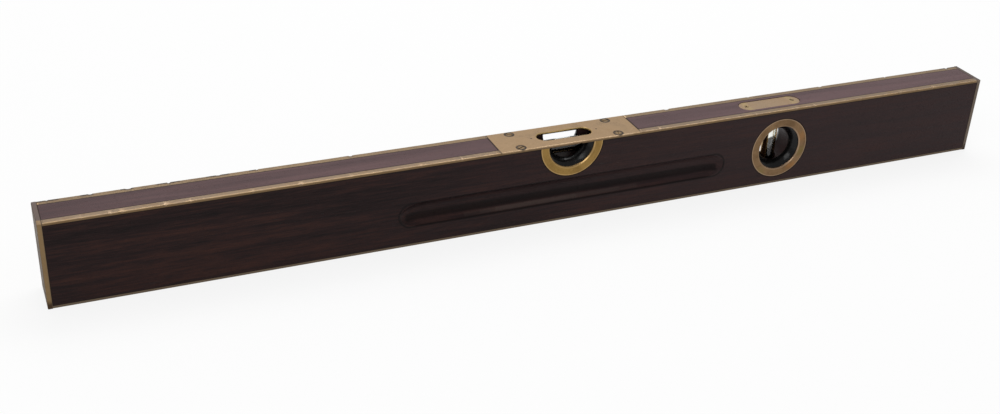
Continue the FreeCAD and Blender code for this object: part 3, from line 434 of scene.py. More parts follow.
@dataclass(frozen=True)
class Rosewood:
    """Old dark rosewood: long streaks, a broad figure, open pores, and a worn, hazy top with a painted
    sheen.
    """

    name: str = "rosewood"
    heart: Colour = (0.0046, 0.0024, 0.0027)
    body: Colour = (0.0160, 0.0074, 0.0074)
    streak: Colour = (0.042, 0.0165, 0.0125)
    far_tone: Colour = (0.038, 0.0225, 0.0235)
    # The top's worn haze together with a painted sheen.
    haze_and_sheen: Colour = (0.215, 0.134, 0.140)
    # Real dust in the scratches, and also the colour of the painted highlights in the finger grooves.
    dust: Colour = (0.10, 0.080, 0.070)
    grime: Colour = (0.012, 0.0050, 0.0020)
    specular: float = 0.10
    pore_depth: float = 0.00010
    stock_height: float = CAD_BOX[1][2]
    half_length: float = CAD_BOX[1][0]
    seams: tuple[Zone | Outline, ...] = (
        Zone(((Axis.HEIGHT, 62.3, 63.7), (Axis.DEPTH, 14.8, 16.0)), 0.45, shake=0.15),
        Zone(((Axis.HEIGHT, 1.6, 2.6), (Axis.DEPTH, 14.8, 16.0)), 0.4, shake=0.15),
        Zone(((Axis.DEPTH, 9.7, 11.0), (Axis.HEIGHT, 64.6, 66.0)), 0.45, shake=0.2),
        Zone(((Axis.LENGTH, 377.0, 378.4),), 0.5, shake=0.2),
        Outline(PLUMB_PORT, COUNTERBORE, 0.9, Axis.HEIGHT, folded=False),
        Outline(LEVEL_PORT, COUNTERBORE, 0.9, Axis.HEIGHT, folded=False),
        Zone(((Axis.LENGTH, 56.6, 58.4), (Axis.HEIGHT, 64.0, 66.0)), 0.6),
    )
    seam_share: float = 0.9
    shade: Colour = (0.0028, 0.0015, 0.0015)
    shade_share: float = 0.75
    # Painted shade: a dark band and an edge line in the finger grooves.
    grooves: tuple[Zone | Outline, ...] = (
        Zone(((Axis.HEIGHT, 18.8, 26.2), (Axis.DEPTH, 5.0, 15.6), (Axis.LENGTH, -10.0, 131.0)), 2.0,
             shake=0.4),
        Outline((0.0, 25.5), 9.7, 1.1, Axis.HEIGHT, straight=125.75),
    )
    # Painted highlights along the lower wall of the front finger grooves.
    sheen_heights: tuple[float, float] = (16.2, 19.8)
    sheens: tuple[tuple[float, float, float], ...] = (
        (-85.0, 60.0, 0.08), (-72.0, 45.0, 0.10), (-60.0, 8.0, 0.14))
    figure_scale: Triple = (6.0, 90.0, 90.0)
    streak_scale: Triple = (42.0, 760.0, 760.0)
    fibre_scale: Triple = (190.0, 3600.0, 3600.0)
    pore_scale: Triple = (260.0, 2600.0, 2600.0)
    scratch_scale: Triple = (70.0, 900.0, 3300.0)
    scratch_tilts: tuple[float, float] = (-0.22, 0.31)
    scratch_share: float = 0.45
    far_tone_share: float = 0.55
    haze_and_sheen_shares: tuple[float, float] = (0.30, 0.58)

    def top_share(self, graph: Graph) -> bpy.types.NodeSocket:
        """Return 1 on the top edge of the stock and 0 elsewhere.

        Args:
            graph: The material that it is added to.

        Returns:
            The share.
        """
        return graph.step(graph.coordinate(Axis.HEIGHT), self.stock_height - 0.6 * MM,
                          self.stock_height - 0.1 * MM)

    def scratches(self, graph: Graph) -> bpy.types.NodeSocket:
        """Return short fine scratches that lie in worn patches, each way near the grain.

        Args:
            graph: The material that they are added to.

        Returns:
            The scratches, from 0 to 1.
        """
        patches = graph.noise((14.0, 40.0, 40.0), shift=(3.0, 7.0, 1.0))
        total = graph.step(patches, 0.50, 0.66)
        lines = None
        for tilt in self.scratch_tilts:
            cut = graph.step(graph.noise(self.scratch_scale, 2.0, 0.5, tilt=tilt), 0.70, 0.76)
            lines = cut if lines is None else graph.sums("MAXIMUM", lines, cut)
        return graph.sums("MULTIPLY", total, lines)

    def material(self) -> bpy.types.Material:
        """Put the wood together from its figure, streaks, fibres, pores, wear and dirt, with painted
        sheen, highlights and shade.

        Returns:
            The material.
        """
        graph = Graph(self.name)
        figure = graph.noise(self.figure_scale, 3.0, 0.5, 0.6)
        streaks = graph.noise(self.streak_scale, 4.0, 0.6, 0.25)
        fibres = graph.noise(self.fibre_scale, 3.0, 0.6)
        tone = graph.sums("MULTIPLY_ADD", figure, 0.45, graph.sums("MULTIPLY", streaks, 0.50))
        tone = graph.sums("MULTIPLY_ADD", fibres, 0.22, tone)
        colour = graph.ramp(tone, ((0.40, self.heart), (0.56, self.body), (0.76, self.streak)))
        length = graph.coordinate(Axis.LENGTH)
        # The wood turns lighter and greyer towards the far end.
        far_share = graph.step(graph.sums("MULTIPLY_ADD", figure, 0.25, length),
                          -self.half_length * 0.5, self.half_length * 1.2, 0.0, self.far_tone_share)
        colour = graph.blend(far_share, colour, self.far_tone)
        pores = graph.step(graph.cells(self.pore_scale), 0.12, 0.30)
        colour = graph.blend(graph.step(pores, 0.0, 1.0, 0.5, 0.0), colour, self.heart)
        scratches = self.scratches(graph)
        colour = graph.blend(graph.sums("MULTIPLY", scratches, self.scratch_share), colour, self.dust)
        # The top gets its worn haze and a painted sheen that grows towards the far end.
        bleach_and_sheen = graph.step(graph.sums("MULTIPLY_ADD", streaks, 0.30, graph.sums(
            "MULTIPLY_ADD", length, 0.30, figure)), 0.30, 1.10, *self.haze_and_sheen_shares)
        colour = graph.blend(graph.sums("MULTIPLY", self.top_share(graph), bleach_and_sheen), colour, self.haze_and_sheen)
        for seam in self.seams:
            colour = Patch(seam, self.grime, self.seam_share).over(graph, colour)
        for groove in self.grooves:
            colour = Patch(groove, self.shade, self.shade_share).over(graph, colour)
        # Painted highlights on the lower wall of the front finger grooves.
        for start, end, share in self.sheens:
            colour = Patch(Zone(((Axis.HEIGHT, *self.sheen_heights), (Axis.DEPTH, -16.0, -9.0),
                                 (Axis.LENGTH, start, end)), 1.2, folded=False, shake=0.3),
                           self.dust, share).over(graph, colour)
        relief = graph.sums("MULTIPLY_ADD", fibres, 0.35, pores)
        relief = graph.sums("MULTIPLY_ADD", scratches, -0.5, relief)
        roughness = graph.step(graph.sums("MULTIPLY_ADD", figure, 0.6, streaks), 0.5, 1.1, 0.30, 0.50)
        return graph.finish(Base_Color=colour, Roughness=roughness,
                            Specular_IOR_Level=self.specular,
                            Normal=graph.bump(relief, self.pore_depth))


@dataclass(frozen=True)
class Brass:
    """Aged brass: a rubbed base, brown patina, patches, dark spots, dirt and fine scratches."""

    name: str
    metal: Colour = (0.41, 0.285, 0.165)
    patina: Colour = (0.24, 0.155, 0.085)
    grime: Colour = (0.022, 0.012, 0.006)
    patina_share: float = 0.5
    spot_share: float = 0.5
    roughness: tuple[float, float] = (0.26, 0.46)
    scratch_axis: Axis = Axis.LENGTH
    scratch_scales: tuple[float, float] = (60.0, 2600.0)
    cloud_scale: float = 60.0
    fine_scale: float = 700.0
    relief_depth: float = 0.00002
    patches: tuple[Patch, ...] = ()
    dirty: tuple[Zone | Outline, ...] = ()

    def scratches(self, graph: Graph) -> bpy.types.NodeSocket:
        """Return fine parallel scratches.

        Args:
            graph: The material that they are added to.

        Returns:
            The scratches, from 0 to 1.
        """
        along, across = self.scratch_scales
        scale = [across, across, across]
        scale[self.scratch_axis.value] = along
        return graph.noise(tuple(scale), 4.0, 0.7)

    def dirt(self, graph: Graph) -> bpy.types.NodeSocket:
        """Return the dirt that lies in spots, along seams and round screws.

        Args:
            graph: The material that it is added to.

        Returns:
            The dirt, from 0 to 1.
        """
        ragged = graph.ragged()
        total = graph.step(ragged, 0.68, 0.80, 0.0, self.spot_share)
        for where in self.dirty:
            near = graph.sums("MULTIPLY", where.mask(graph), graph.step(ragged, 0.25, 0.6, 0.6, 1.0))
            total = graph.sums("MAXIMUM", total, near)
        return total

    def material(self) -> bpy.types.Material:
        """Lay the patina, the scratches, the patches and the dirt over the metal.

        Returns:
            The material.
        """
        graph = Graph(self.name)
        clouds = graph.noise((self.cloud_scale,) * 3, 6.0, 0.62, 0.4, shift=(5.0, 1.0, 8.0))
        fine = graph.noise((self.fine_scale,) * 3, 4.0, 0.6)
        scratches = self.scratches(graph)
        aged = graph.step(graph.sums("MULTIPLY_ADD", fine, 0.35, clouds), 0.50, 0.92,
                          self.patina_share - 0.5, self.patina_share + 0.4)
        colour = graph.blend(aged, self.metal, self.patina)
        colour = graph.blend(graph.step(scratches, 0.58, 0.78, 0.0, 0.35), colour, self.patina)
        for patch in self.patches:
            colour = patch.over(graph, colour)
        dirt = self.dirt(graph)
        colour = graph.blend(dirt, colour, self.grime)
        low, high = self.roughness
        roughness = graph.step(graph.sums("MULTIPLY_ADD", fine, 0.5, clouds), 0.45, 1.05, low, high)
        roughness = graph.sums("MULTIPLY_ADD", dirt, 0.30, roughness)
        relief = graph.sums("MULTIPLY_ADD", scratches, 0.5, graph.sums("MULTIPLY", fine, 0.5))
        relief = graph.sums("MULTIPLY_ADD", dirt, -0.6, relief)
        metallic = graph.step(dirt, 0.0, 1.0, 1.0, 0.2)
        return graph.finish(Base_Color=colour, Metallic=metallic, Roughness=roughness,
                            Normal=graph.bump(relief, self.relief_depth))


@dataclass(frozen=True)
class Japan:
    """Gloss black japan on the sheet metal of the port liners."""

    name: str = "black japan"
    black: Colour = (0.0035, 0.0034, 0.0036)
    dust: Colour = (0.05, 0.042, 0.036)
    specular: float = 0.20
    speck_scale: float = 900.0
    wave_scale: float = 160.0
    wave_depth: float = 0.0003

    def material(self) -> bpy.types.Material:
        """Put the japan together from its black, its waves and specks of dust.

        Returns:
            The material.
        """
        graph = Graph(self.name)
        specks = graph.noise((self.speck_scale,) * 3, 3.0, 0.6)
        waves = graph.noise((self.wave_scale,) * 3, 3.0, 0.5)
        colour = graph.blend(graph.step(specks, 0.62, 0.74, 0.0, 0.7), self.black, self.dust)
        roughness = graph.step(graph.sums("MULTIPLY_ADD", specks, 0.6, waves), 0.5, 1.1, 0.10, 0.34)
        return graph.finish(Base_Color=colour, Roughness=roughness, Specular_IOR_Level=self.specular,
                            Normal=graph.bump(waves, self.wave_depth))


@dataclass(frozen=True)
class Clear:
    """A clear stuff with its own index: the vials' glass or the spirit in them.

    Attributes:
        dark: The colour of the shade painted in it.
        shade_below: The height under which shade is painted, or 0 for none.
        slant: How fast that height rises along the level.
        slant_across: Where along the level it is as stated.
        fray: How far the painted shade's edge wanders.
        soft: How wide that edge is.
    """

    name: str
    tint: Colour
    index: float
    roughness: float = 0.0
    dark: Colour = (0.0014, 0.0018, 0.0013)
    shade_below: float = 0.0
    slant: float = 0.0
    slant_across: float = 0.0
    fray: float = 1.5 * MM
    soft: float = 1.4 * MM

    def material(self) -> bpy.types.Material:
        """Tint the clear stuff in streaks, and paint shade into it below a height.

        Returns:
            The material.
        """
        graph = Graph(self.name)
        streaks = graph.noise((90.0, 500.0, 90.0), 2.0)
        colour = graph.blend(graph.step(streaks, 0.35, 0.75), (1.0, 1.0, 1.0), self.tint)
        if self.shade_below:
            edge = graph.sums("MULTIPLY_ADD", streaks, self.fray, graph.coordinate(Axis.HEIGHT))
            across = graph.sums("SUBTRACT", graph.coordinate(Axis.LENGTH), self.slant_across)
            edge = graph.sums("MULTIPLY_ADD", across, -self.slant, edge)
            # Painted shade: the stuff is darkened below a height.
            painted_shade = graph.step(edge, self.shade_below, self.shade_below + self.soft, 1.0, 0.0)
            colour = graph.blend(painted_shade, colour, self.dark)
        return graph.finish(Base_Color=colour, Roughness=self.roughness, IOR=self.index,
                            Transmission_Weight=1.0)


@dataclass(frozen=True)
class Plain:
    """A plain mottled stuff, such as plaster, or steel that has gone dull."""

    name: str
    light: Colour
    dark: Colour
    metallic: float
    roughness: tuple[float, float]
    grain: float
    relief_depth: float = 0.00005

    def material(self) -> bpy.types.Material:
        """Mottle the stuff between its light and its dark colour.

        Returns:
            The material.
        """
        graph = Graph(self.name)
        clouds = graph.noise((self.grain,) * 3, 6.0, 0.65)
        colour = graph.blend(graph.step(clouds, 0.35, 0.68), self.light, self.dark)
        roughness = graph.step(clouds, 0.3, 0.7, *self.roughness)
        return graph.finish(Base_Color=colour, Metallic=self.metallic, Roughness=roughness,
                            Normal=graph.bump(clouds, self.relief_depth))


def dress(material: bpy.types.Material, *nodes: str) -> None:
    """Give CAD nodes a finished material.

    Args:
        material: What they are made of.
        *nodes: Their names.
    """
    for node in nodes:
        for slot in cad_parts[node].material_slots:
            slot.material = material
        log.info("dressed %s in %s", node, material.name)


def merged_copy(node: str) -> bmesh.types.BMesh:
    """Return the shape of a CAD node with its loose triangles joined.

    Args:
        node: The node's name.

    Returns:
        The shape, in place.
    """
    mesh = bmesh.new()
    mesh.from_mesh(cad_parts[node].data)
    bmesh.ops.remove_doubles(mesh, verts=mesh.verts, dist=MERGE)
    return mesh


def add_piece(name: str, mesh: bmesh.types.BMesh, material: bpy.types.Material, body: str,
              stands_for: tuple[str, ...] = (),
              squeezed: tuple[Vector, Vector] | None = None) -> bpy.types.Object:
    """Turn a bmesh into a finished piece that rides on a body, or, when squeezed is given, stands on its
    own.

    Args:
        name: The piece's name.
        mesh: Its shape, in place.
        material: What it is made of.
        body: The CAD body that it moves with.
        stands_for: The CAD nodes that it replaces.
        squeezed: For a spring between the stock and the body, its still and its moving end; only whether
            it is given is used, and the ends are not.

    Returns:
        The new object.
    """
    data = bpy.data.meshes.new(name)
    for face in mesh.faces:
        face.smooth = True
    mesh.to_mesh(data)
    mesh.free()
    piece = bpy.data.objects.new(name, data)
    bpy.context.scene.collection.objects.link(piece)
    data.materials.append(material)
    data.set_sharp_from_angle(angle=SHARP_ANGLE)
    if squeezed:
        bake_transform(piece)
    else:
        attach(piece, body)
    if stands_for:
        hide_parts(*stands_for)
    log.info("built %s: %d faces", name, len(data.polygons))
    return piece


@dataclass
class Stock:
    """The wooden stock."""

    finish: Rosewood = field(default_factory=Rosewood)

    def build(self) -> None:
        """Dress the stock."""
        dress(self.finish.material(), "wooden_stock")


@dataclass
class WornRod:
    """A top binding rod as years have left it: a wavy rounded arris with nicks and chips.

    It starts from the CAD rod, so the seat of the plate, the screw holes and the nick over the
    port stay where they are.

    Attributes:
        node: The CAD rod.
        side: 1 for the rear rod and -1 for the front one.
        nicks: Each nick's place along the rod, its half length and its depth.
    """

    node: str
    side: int
    nicks: tuple[tuple[float, float, float], ...]
    station: float = 1.6 * MM
    plate_half: float = 57.15 * MM
    land: float = 1.6 * MM
    wave: float = 0.10 * MM
    long_scale: float = 55.0
    short_scale: float = 420.0
    short_share: float = 0.3
    inward: float = 0.8
    nick_stations: tuple[float, ...] = (-1.0, -0.6, -0.2, 0.2, 0.6, 1.0)
    end_gap: float = 0.01 * MM

    def stations(self, mesh: bmesh.types.BMesh, half_length: float) -> None:
        """Cut the rod across at even steps outside the plate, closer together at each nick.

        Args:
            mesh: The rod's shape.
            half_length: Half of the rod's length.
        """
        reach = half_length - self.plate_half
        count = int(reach / self.station)
        cuts = {side * (self.plate_half + reach * number / count)
                for side in (-1, 1) for number in range(1, count)}
        for position, half, _ in self.nicks:
            cuts.update(position + half * part for part in self.nick_stations)
        for across in sorted(cuts):
            bmesh.ops.bisect_plane(mesh, geom=[*mesh.verts, *mesh.edges, *mesh.faces], dist=0.1 * MERGE,
                                   plane_co=(across, 0.0, 0.0), plane_no=(1.0, 0.0, 0.0))

    def worn(self, place: Vector) -> float:
        """Return how far the arris has gone down and in at a place along the rod.

        Args:
            place: A point of the rod.

        Returns:
            The depth of the wear, in metres.
        """
        long_wave = noise.noise(Vector((place.x * self.long_scale, self.side * 3.0, 0.5)))
        short_wave = noise.noise(Vector((place.x * self.short_scale, 7.0, self.side)))
        depth = self.wave * max(0.0, long_wave) + self.short_share * self.wave * abs(short_wave)
        for position, half, nick_depth in self.nicks:
            away = abs(place.x - position) / half
            if away < 1.0:
                depth += nick_depth * (1.0 - away * away)
        return depth

    def build(self, material: bpy.types.Material) -> None:
        """Build the rod in place of its node.

        Args:
            material: What it is made of.
        """
        low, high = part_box(self.node)
        half_width = max(-low.y, high.y)
        mesh = merged_copy(self.node)
        self.stations(mesh, high.x)
        for vert in mesh.verts:
            out = self.side * vert.co.y - (half_width - self.land)
            up = vert.co.z - (high.z - self.land)
            if self.plate_half < abs(vert.co.x) < high.x - self.end_gap:
                share = max(0.0, min(1.0, out / self.land)) * max(0.0, min(1.0, up / self.land))
                depth = self.worn(vert.co) * share
                vert.co.y -= self.side * depth * self.inward
                vert.co.z -= depth
        add_piece(f"{self.node}_worn", mesh, material, "stock", (self.node,))


@dataclass
class Binding:
    """The rods let into the edges, the end plates and their screws."""

    seam: Zone = Zone(((Axis.DEPTH, 9.9, 10.9),), 0.4, shake=0.15)
    foot: Zone = Zone(((Axis.HEIGHT, 62.8, 63.4),), 0.25, shake=0.1)
    joint: Zone = Zone(((Axis.LENGTH, 377.4, 378.2),), 0.35)
    face: Zone = Zone(((Axis.DEPTH, 15.2, 15.6), (Axis.HEIGHT, -1.0, 64.7)), 0.15)
    top: Zone = Zone(((Axis.HEIGHT, 64.6, 66.0),), 0.3)
    corner: Zone = Zone(((Axis.HEIGHT, 64.4, 66.0), (Axis.DEPTH, -16.0, -10.4),
                         (Axis.LENGTH, -382.0, -376.0)), 0.5, folded=False, shake=0.6)
    end_face: Zone = Zone(((Axis.LENGTH, 380.75, 382.0),), 0.15)
    low_corner: Zone = Zone(((Axis.HEIGHT, -9.0, 7.0),), 4.0, shake=1.5)
    shadow: Zone = Zone(((Axis.LENGTH, 20.0, 700.0), (Axis.DEPTH, -16.0, -15.0)), 90.0, folded=False,
                        shake=9.0)
    # Rubbed metal with a painted highlight, laid along the top arrises.
    rubbed: Colour = (0.56, 0.39, 0.22)
    tarnish: Colour = (0.105, 0.070, 0.042)
    # Painted shade on the rods' side faces.
    side_face_shade: Colour = (0.150, 0.092, 0.042)
    bottom_face: Colour = (0.112, 0.085, 0.060)
    bottom_shade: Colour = (0.047, 0.036, 0.030)
    film: Colour = (0.16, 0.125, 0.115)
    # Darkens the end plates' end faces.
    end_face_darkening: Colour = (0.075, 0.058, 0.048)
    # Darker towards the bottom of the end plates.
    bottom_darkening: Colour = (0.035, 0.020, 0.014)
    left_face: Colour = (0.185, 0.122, 0.060)
    left_corner: Colour = (0.36, 0.24, 0.13)
    right_face: Colour = (0.118, 0.096, 0.080)
    front_depth: float = 0.30 * MM
    rear_depth: float = 0.45 * MM
    front_nicks: tuple[float, ...] = (-353.0, -334.6, -327.0, -298.9, -296.5, -282.3, -240.0, -206.8,
                                      -171.0, -119.2, -88.0, 74.0, 109.7, 160.0, 197.0, 214.0,
                                      258.6, 298.2, 331.0)
    rear_nicks: tuple[float, ...] = (-371.0, -343.0, -318.0, -291.0, -257.0, -230.0, -162.0, 96.0,
                                     171.0, 240.0, 305.0, 369.0)
    rear_spans: tuple[tuple[float, float], ...] = (
        (-380.0, -363.0), (-350.0, -341.0), (-324.0, -314.0), (-300.0, -283.0), (-266.0, -249.0),
        (-236.0, -229.0), (361.0, 377.0))

    def nicks(self, places: tuple[float, ...],
              depth: float) -> tuple[tuple[float, float, float], ...]:
        """Return nicks of uneven size at their places.

        Args:
            places: Where they are along the rod, in millimetres.
            depth: The depth of a middling one, in metres.

        Returns:
            Each nick's place, half length and depth, in metres.
        """
        return tuple((place * MM, (0.9 + 0.35 * (number * 7 % 5)) * MM,
                      depth * (0.6 + 0.25 * (number * 5 % 4))) for number, place in enumerate(places))

    def build(self) -> None:
        """Build the worn rods and dress the rest."""
        # The rods' side faces are darkened with painted shade.
        shade = Patch(self.face, self.side_face_shade, 0.85)
        front = Brass("front rod brass", metal=(0.34, 0.245, 0.165), patina_share=0.35,
                      patches=(shade, Patch(TOP_ARRIS, self.rubbed, 0.7, broken=True)),
                      dirty=(self.seam, self.foot, self.joint))
        chipped = tuple(Zone(((Axis.LENGTH, low, high), (Axis.DEPTH, 13.1, 16.5)), 0.9,
                             folded=False, shake=0.8) for low, high in self.rear_spans)
        rear = Brass("rear rod brass", patina=(0.22, 0.155, 0.10), patina_share=0.55, spot_share=0.8,
                     patches=(shade, Patch(TOP_ARRIS, self.rubbed, 0.3, broken=True)),
                     dirty=(self.seam, self.foot, self.joint, *chipped))
        WornRod("binding_rod_top_front", -1,
                self.nicks(self.front_nicks, self.front_depth)).build(front.material())
        WornRod("binding_rod_top_rear", 1,
                self.nicks(self.rear_nicks, self.rear_depth)).build(rear.material())
        bottom = Brass("bottom rod brass", patina_share=0.8, spot_share=0.8, dirty=(self.seam,),
                       patches=(Patch(self.face, self.bottom_face, 0.95),
                                Patch(self.shadow, self.bottom_shade, 0.9)))
        dress(bottom.material(), "binding_rod_bottom_front", "binding_rod_bottom_rear")
        film = Patch(self.top, self.film, 0.92)
        # The end plates' end faces are painted darker, here and through their dirty lists.
        edge = Patch(self.end_face, self.end_face_darkening, 0.92)
        # The end plates turn darker towards the bottom.
        low = Patch(self.low_corner, self.bottom_darkening, 0.85)
        left = Brass("left end brass", grime=self.tarnish, patina_share=0.6, spot_share=0.95,
                     scratch_axis=Axis.DEPTH,
                     patches=(Patch(self.face, self.left_face, 0.85), film,
                              Patch(self.corner, self.left_corner, 0.9), edge, low),
                     dirty=(self.joint, self.end_face))
        right = Brass("right end brass", grime=self.tarnish, patina_share=0.7, spot_share=0.6,
                      scratch_axis=Axis.DEPTH,
                      patches=(Patch(self.face, self.right_face, 0.92), film, edge, low),
                      dirty=(self.joint, self.end_face))
        dress(left.material(), "end_plate_left")
        dress(right.material(), "end_plate_right")
        screws = Brass("end screw brass", patina_share=0.9, roughness=(0.3, 0.5), metal=(0.2, 0.14, 0.08),
                       patina=(0.10, 0.07, 0.045))
        dress(screws.material(), "end_plate_screws")


@dataclass
class TopPlate:
    """The plate with the sighting slot, and its screws."""

    edge: Zone = Zone(((Axis.LENGTH, 56.6, 57.5),), 0.5, shake=0.2)
    lip: Zone = Zone(((Axis.HEIGHT, 63.4, 64.25), (Axis.DEPTH, 14.0, 16.0)), 0.25)
    mark: Outline = Outline((26.9, 0.0), 0.25, 0.7)
    screw_rim: Outline = Outline(PLATE_SCREW, 3.45, 1.0)
    screw_shade: Patch = Patch(Outline(PLATE_SCREW, 2.9, 1.5), (0.13, 0.085, 0.045), 0.8)
    # Painted shade on the plate's side faces.
    face: Patch = Patch(Zone(((Axis.DEPTH, 15.2, 15.6), (Axis.HEIGHT, 60.0, 64.7)), 0.15),
                        (0.22, 0.14, 0.07), 0.6)
    # Rubbed metal with a painted highlight along the plate's arrises.
    arris: Patch = Patch(TOP_ARRIS, (0.62, 0.46, 0.30), 0.45, broken=True)
    # A painted highlight round the slot's edge, and painted light on the slot's walls.
    slot_edge_highlight: Patch = Patch(Outline((0.0, 0.0), 6.4, 1.15, straight=15.725), (0.62, 0.43, 0.20), 0.75)
    slot_wall_highlight: Patch = Patch(Zone(((Axis.LENGTH, -1.0, 22.5), (Axis.DEPTH, -1.0, 6.7),
                                   (Axis.HEIGHT, 60.0, 64.8)), 0.2), (0.66, 0.44, 0.15), 0.85)

    def build(self) -> None:
        """Dress the plate and its screws."""
        plate = Brass("top plate brass", metal=(0.47, 0.315, 0.178), patina_share=0.35, spot_share=0.2,
                      patina=(0.30, 0.20, 0.11),
                      patches=(self.face, self.arris, self.slot_edge_highlight, self.slot_wall_highlight),
                      dirty=(self.edge, self.lip, self.screw_rim, self.mark))
        dress(plate.material(), "top_plate")
        screws = Brass("plate screw brass", metal=(0.44, 0.31, 0.165), patina_share=0.6,
                       spot_share=0.7, dirty=(self.screw_rim,), patches=(self.screw_shade,))
        dress(screws.material(), "top_plate_screws")


@dataclass
class PlumbCover:
    """The small cover over the plumb vial, and its screws."""

    golden: Patch = Patch(Outline(*COVER_SCREWS, 3.6, folded=False), (0.56, 0.42, 0.18), 0.4)
    head: Outline = Outline(*COVER_SCREWS, 0.4, folded=False)

    def build(self) -> None:
        """Dress the cover and its screws."""
        cover = Brass("cover brass", metal=(0.48, 0.335, 0.21), patina=(0.33, 0.22, 0.13),
                      patina_share=0.45, spot_share=0.5, patches=(self.golden,))
        dress(cover.material(), "plumb_cover_plate")
        dress(Brass("cover screw brass", metal=(0.40, 0.29, 0.15), patina_share=0.5,
                    dirty=(self.head,)).material(), "plumb_cover_screws")


@dataclass
class Ports:
    """The rings and the liners of both ports."""

    faces: tuple[str, str] = ("front", "rear")
    # Rubbed metal with painted highlights on the rings' rims.
    level_rim_highlight: Colour = (0.46, 0.30, 0.13)
    plumb_rim_highlight: Colour = (0.34, 0.235, 0.155)
    rim_lines: tuple[tuple[float, float], ...] = ((18.6, 1.1), (25.0, 0.6))
    rim_share: float = 0.7
    tones: tuple[Patch, ...] = (
        Patch(Zone(((Axis.LENGTH, 199.0, 212.0), (Axis.HEIGHT, 32.0, 46.0)), 6.0, folded=False,
                   shake=3.0), (0.27, 0.125, 0.042), 0.5),
        Patch(Zone(((Axis.LENGTH, 193.0, 208.0), (Axis.HEIGHT, 8.0, 19.0)), 6.0, folded=False,
                   shake=3.0), (0.27, 0.120, 0.036), 0.6),
        Patch(Zone(((Axis.LENGTH, 163.0, 177.0), (Axis.HEIGHT, 4.0, 18.0)), 6.0, folded=False,
                   shake=3.0), (0.165, 0.125, 0.045), 0.7),
        Patch(Zone(((Axis.LENGTH, 202.0, 213.0), (Axis.HEIGHT, 20.0, 32.0)), 5.0, folded=False,
                   shake=3.0), (0.165, 0.125, 0.042), 0.6),
    )

    def build(self) -> None:
        """Dress the rings and the liners."""
        japan = Japan().material()
        rings = {
            "level": Brass("level ring brass", metal=(0.27, 0.165, 0.052), patina_share=0.3,
                           patina=(0.17, 0.098, 0.030), roughness=(0.2, 0.38), spot_share=0.3,
                           patches=self.rims(LEVEL_PORT, self.level_rim_highlight),
                           dirty=(Outline(LEVEL_PORT, COUNTERBORE, 0.35, Axis.HEIGHT, folded=False),)),
            "plumb": Brass("plumb ring brass", metal=(0.205, 0.126, 0.066), patina_share=0.45,
                           patina=(0.115, 0.068, 0.033), roughness=(0.22, 0.40), spot_share=0.5,
                           patches=(*self.tones, *self.rims(PLUMB_PORT, self.plumb_rim_highlight)),
                           dirty=(Outline(PLUMB_PORT, COUNTERBORE, 0.35, Axis.HEIGHT, folded=False),)),
        }
        for port, ring in rings.items():
            brass = ring.material()
            for face in self.faces:
                dress(brass, f"{port}_port_ring_{face}")
                dress(japan, f"{port}_port_liner_{face}")

    def rims(self, centre: tuple[float, float], colour: Colour) -> tuple[Patch, ...]:
        """Return the rubbed metal and painted highlights round a ring's inner and outer edges.

        Args:
            centre: The port's centre, along and up, in millimetres.
            colour: The colour of rubbed metal with a painted highlight on it.

        Returns:
            The patches.
        """
        return tuple(Patch(Outline(centre, radius, half, Axis.HEIGHT, folded=False), colour,
                           self.rim_share) for radius, half in self.rim_lines)


@dataclass
class Vial:
    """One vial: its glass, the spirit in it and the bubble.

    Attributes:
        body: The CAD body that it belongs to.
        bore: The radius of its bore.
        bubble: Half of the bubble's size along each axis.
        overlap: How far the spirit reaches into the glass.
        lying_gap: The spirit over the bubble of a vial that lies.
        standing_gap: The same for a vial that stands.
    """

    body: str
    glass: bpy.types.Material
    spirit: bpy.types.Material
    along: Axis
    bore: float
    bubble: tuple[float, float, float]
    overlap: float = 0.04 * MM
    rounding: float = 0.9 * MM
    lying_gap: float = 0.08 * MM
    standing_gap: float = 0.25 * MM
    segments: int = 48
    round_steps: int = 4
    bubble_segments: tuple[int, int] = (32, 16)

    def liquid(self) -> bmesh.types.BMesh:
        """Return the spirit, a little wider than the bore so that no air shows between.

        Returns:
            The spirit's shape, standing or lying as its node does.
        """
        low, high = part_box(f"{self.body}_spirit")
        half = (high[self.along.value] - low[self.along.value]) / 2
        mesh = bmesh.new()
        bmesh.ops.create_cone(mesh, cap_ends=True, segments=self.segments, depth=2 * half,
                              radius1=self.bore + self.overlap, radius2=self.bore + self.overlap)
        rings = [edge for edge in mesh.edges if abs(edge.verts[0].co.z - edge.verts[1].co.z) < half]
        bmesh.ops.bevel(mesh, geom=rings, offset=self.rounding, segments=self.round_steps,
                        profile=0.5, affect="EDGES", material=-1)
        if self.along is Axis.LENGTH:
            bmesh.ops.rotate(mesh, verts=mesh.verts, matrix=Matrix.Rotation(math.pi / 2, 3, "Y"))
        bmesh.ops.translate(mesh, verts=mesh.verts, vec=(low + high) / 2)
        return mesh

    def add_bubble(self, mesh: bmesh.types.BMesh) -> None:
        """Hollow the spirit with its bubble, just under the top of the bore.

        Args:
            mesh: The spirit's shape.
        """
        low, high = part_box(f"{self.body}_spirit")
        middle = (low + high) / 2
        if self.along is Axis.LENGTH:
            middle.z += self.bore - self.bubble[2] - self.lying_gap
        else:
            middle.z = high.z - self.bubble[2] - self.standing_gap
        around, up = self.bubble_segments
        hollow = bmesh.ops.create_uvsphere(mesh, u_segments=around, v_segments=up, radius=1.0)["verts"]
        bmesh.ops.scale(mesh, verts=hollow, vec=self.bubble)
        bmesh.ops.translate(mesh, verts=hollow, vec=middle)
        inside = set(hollow)
        bmesh.ops.reverse_faces(mesh, faces=[face for face in mesh.faces
                                             if all(vert in inside for vert in face.verts)])

    def build(self) -> None:
        """Dress the glass and build the spirit."""
        dress(self.glass, f"{self.body}_glass")
        mesh = self.liquid()
        self.add_bubble(mesh)
        add_piece(f"{self.body}_liquid", mesh, self.spirit, self.body,
                  (f"{self.body}_spirit",))


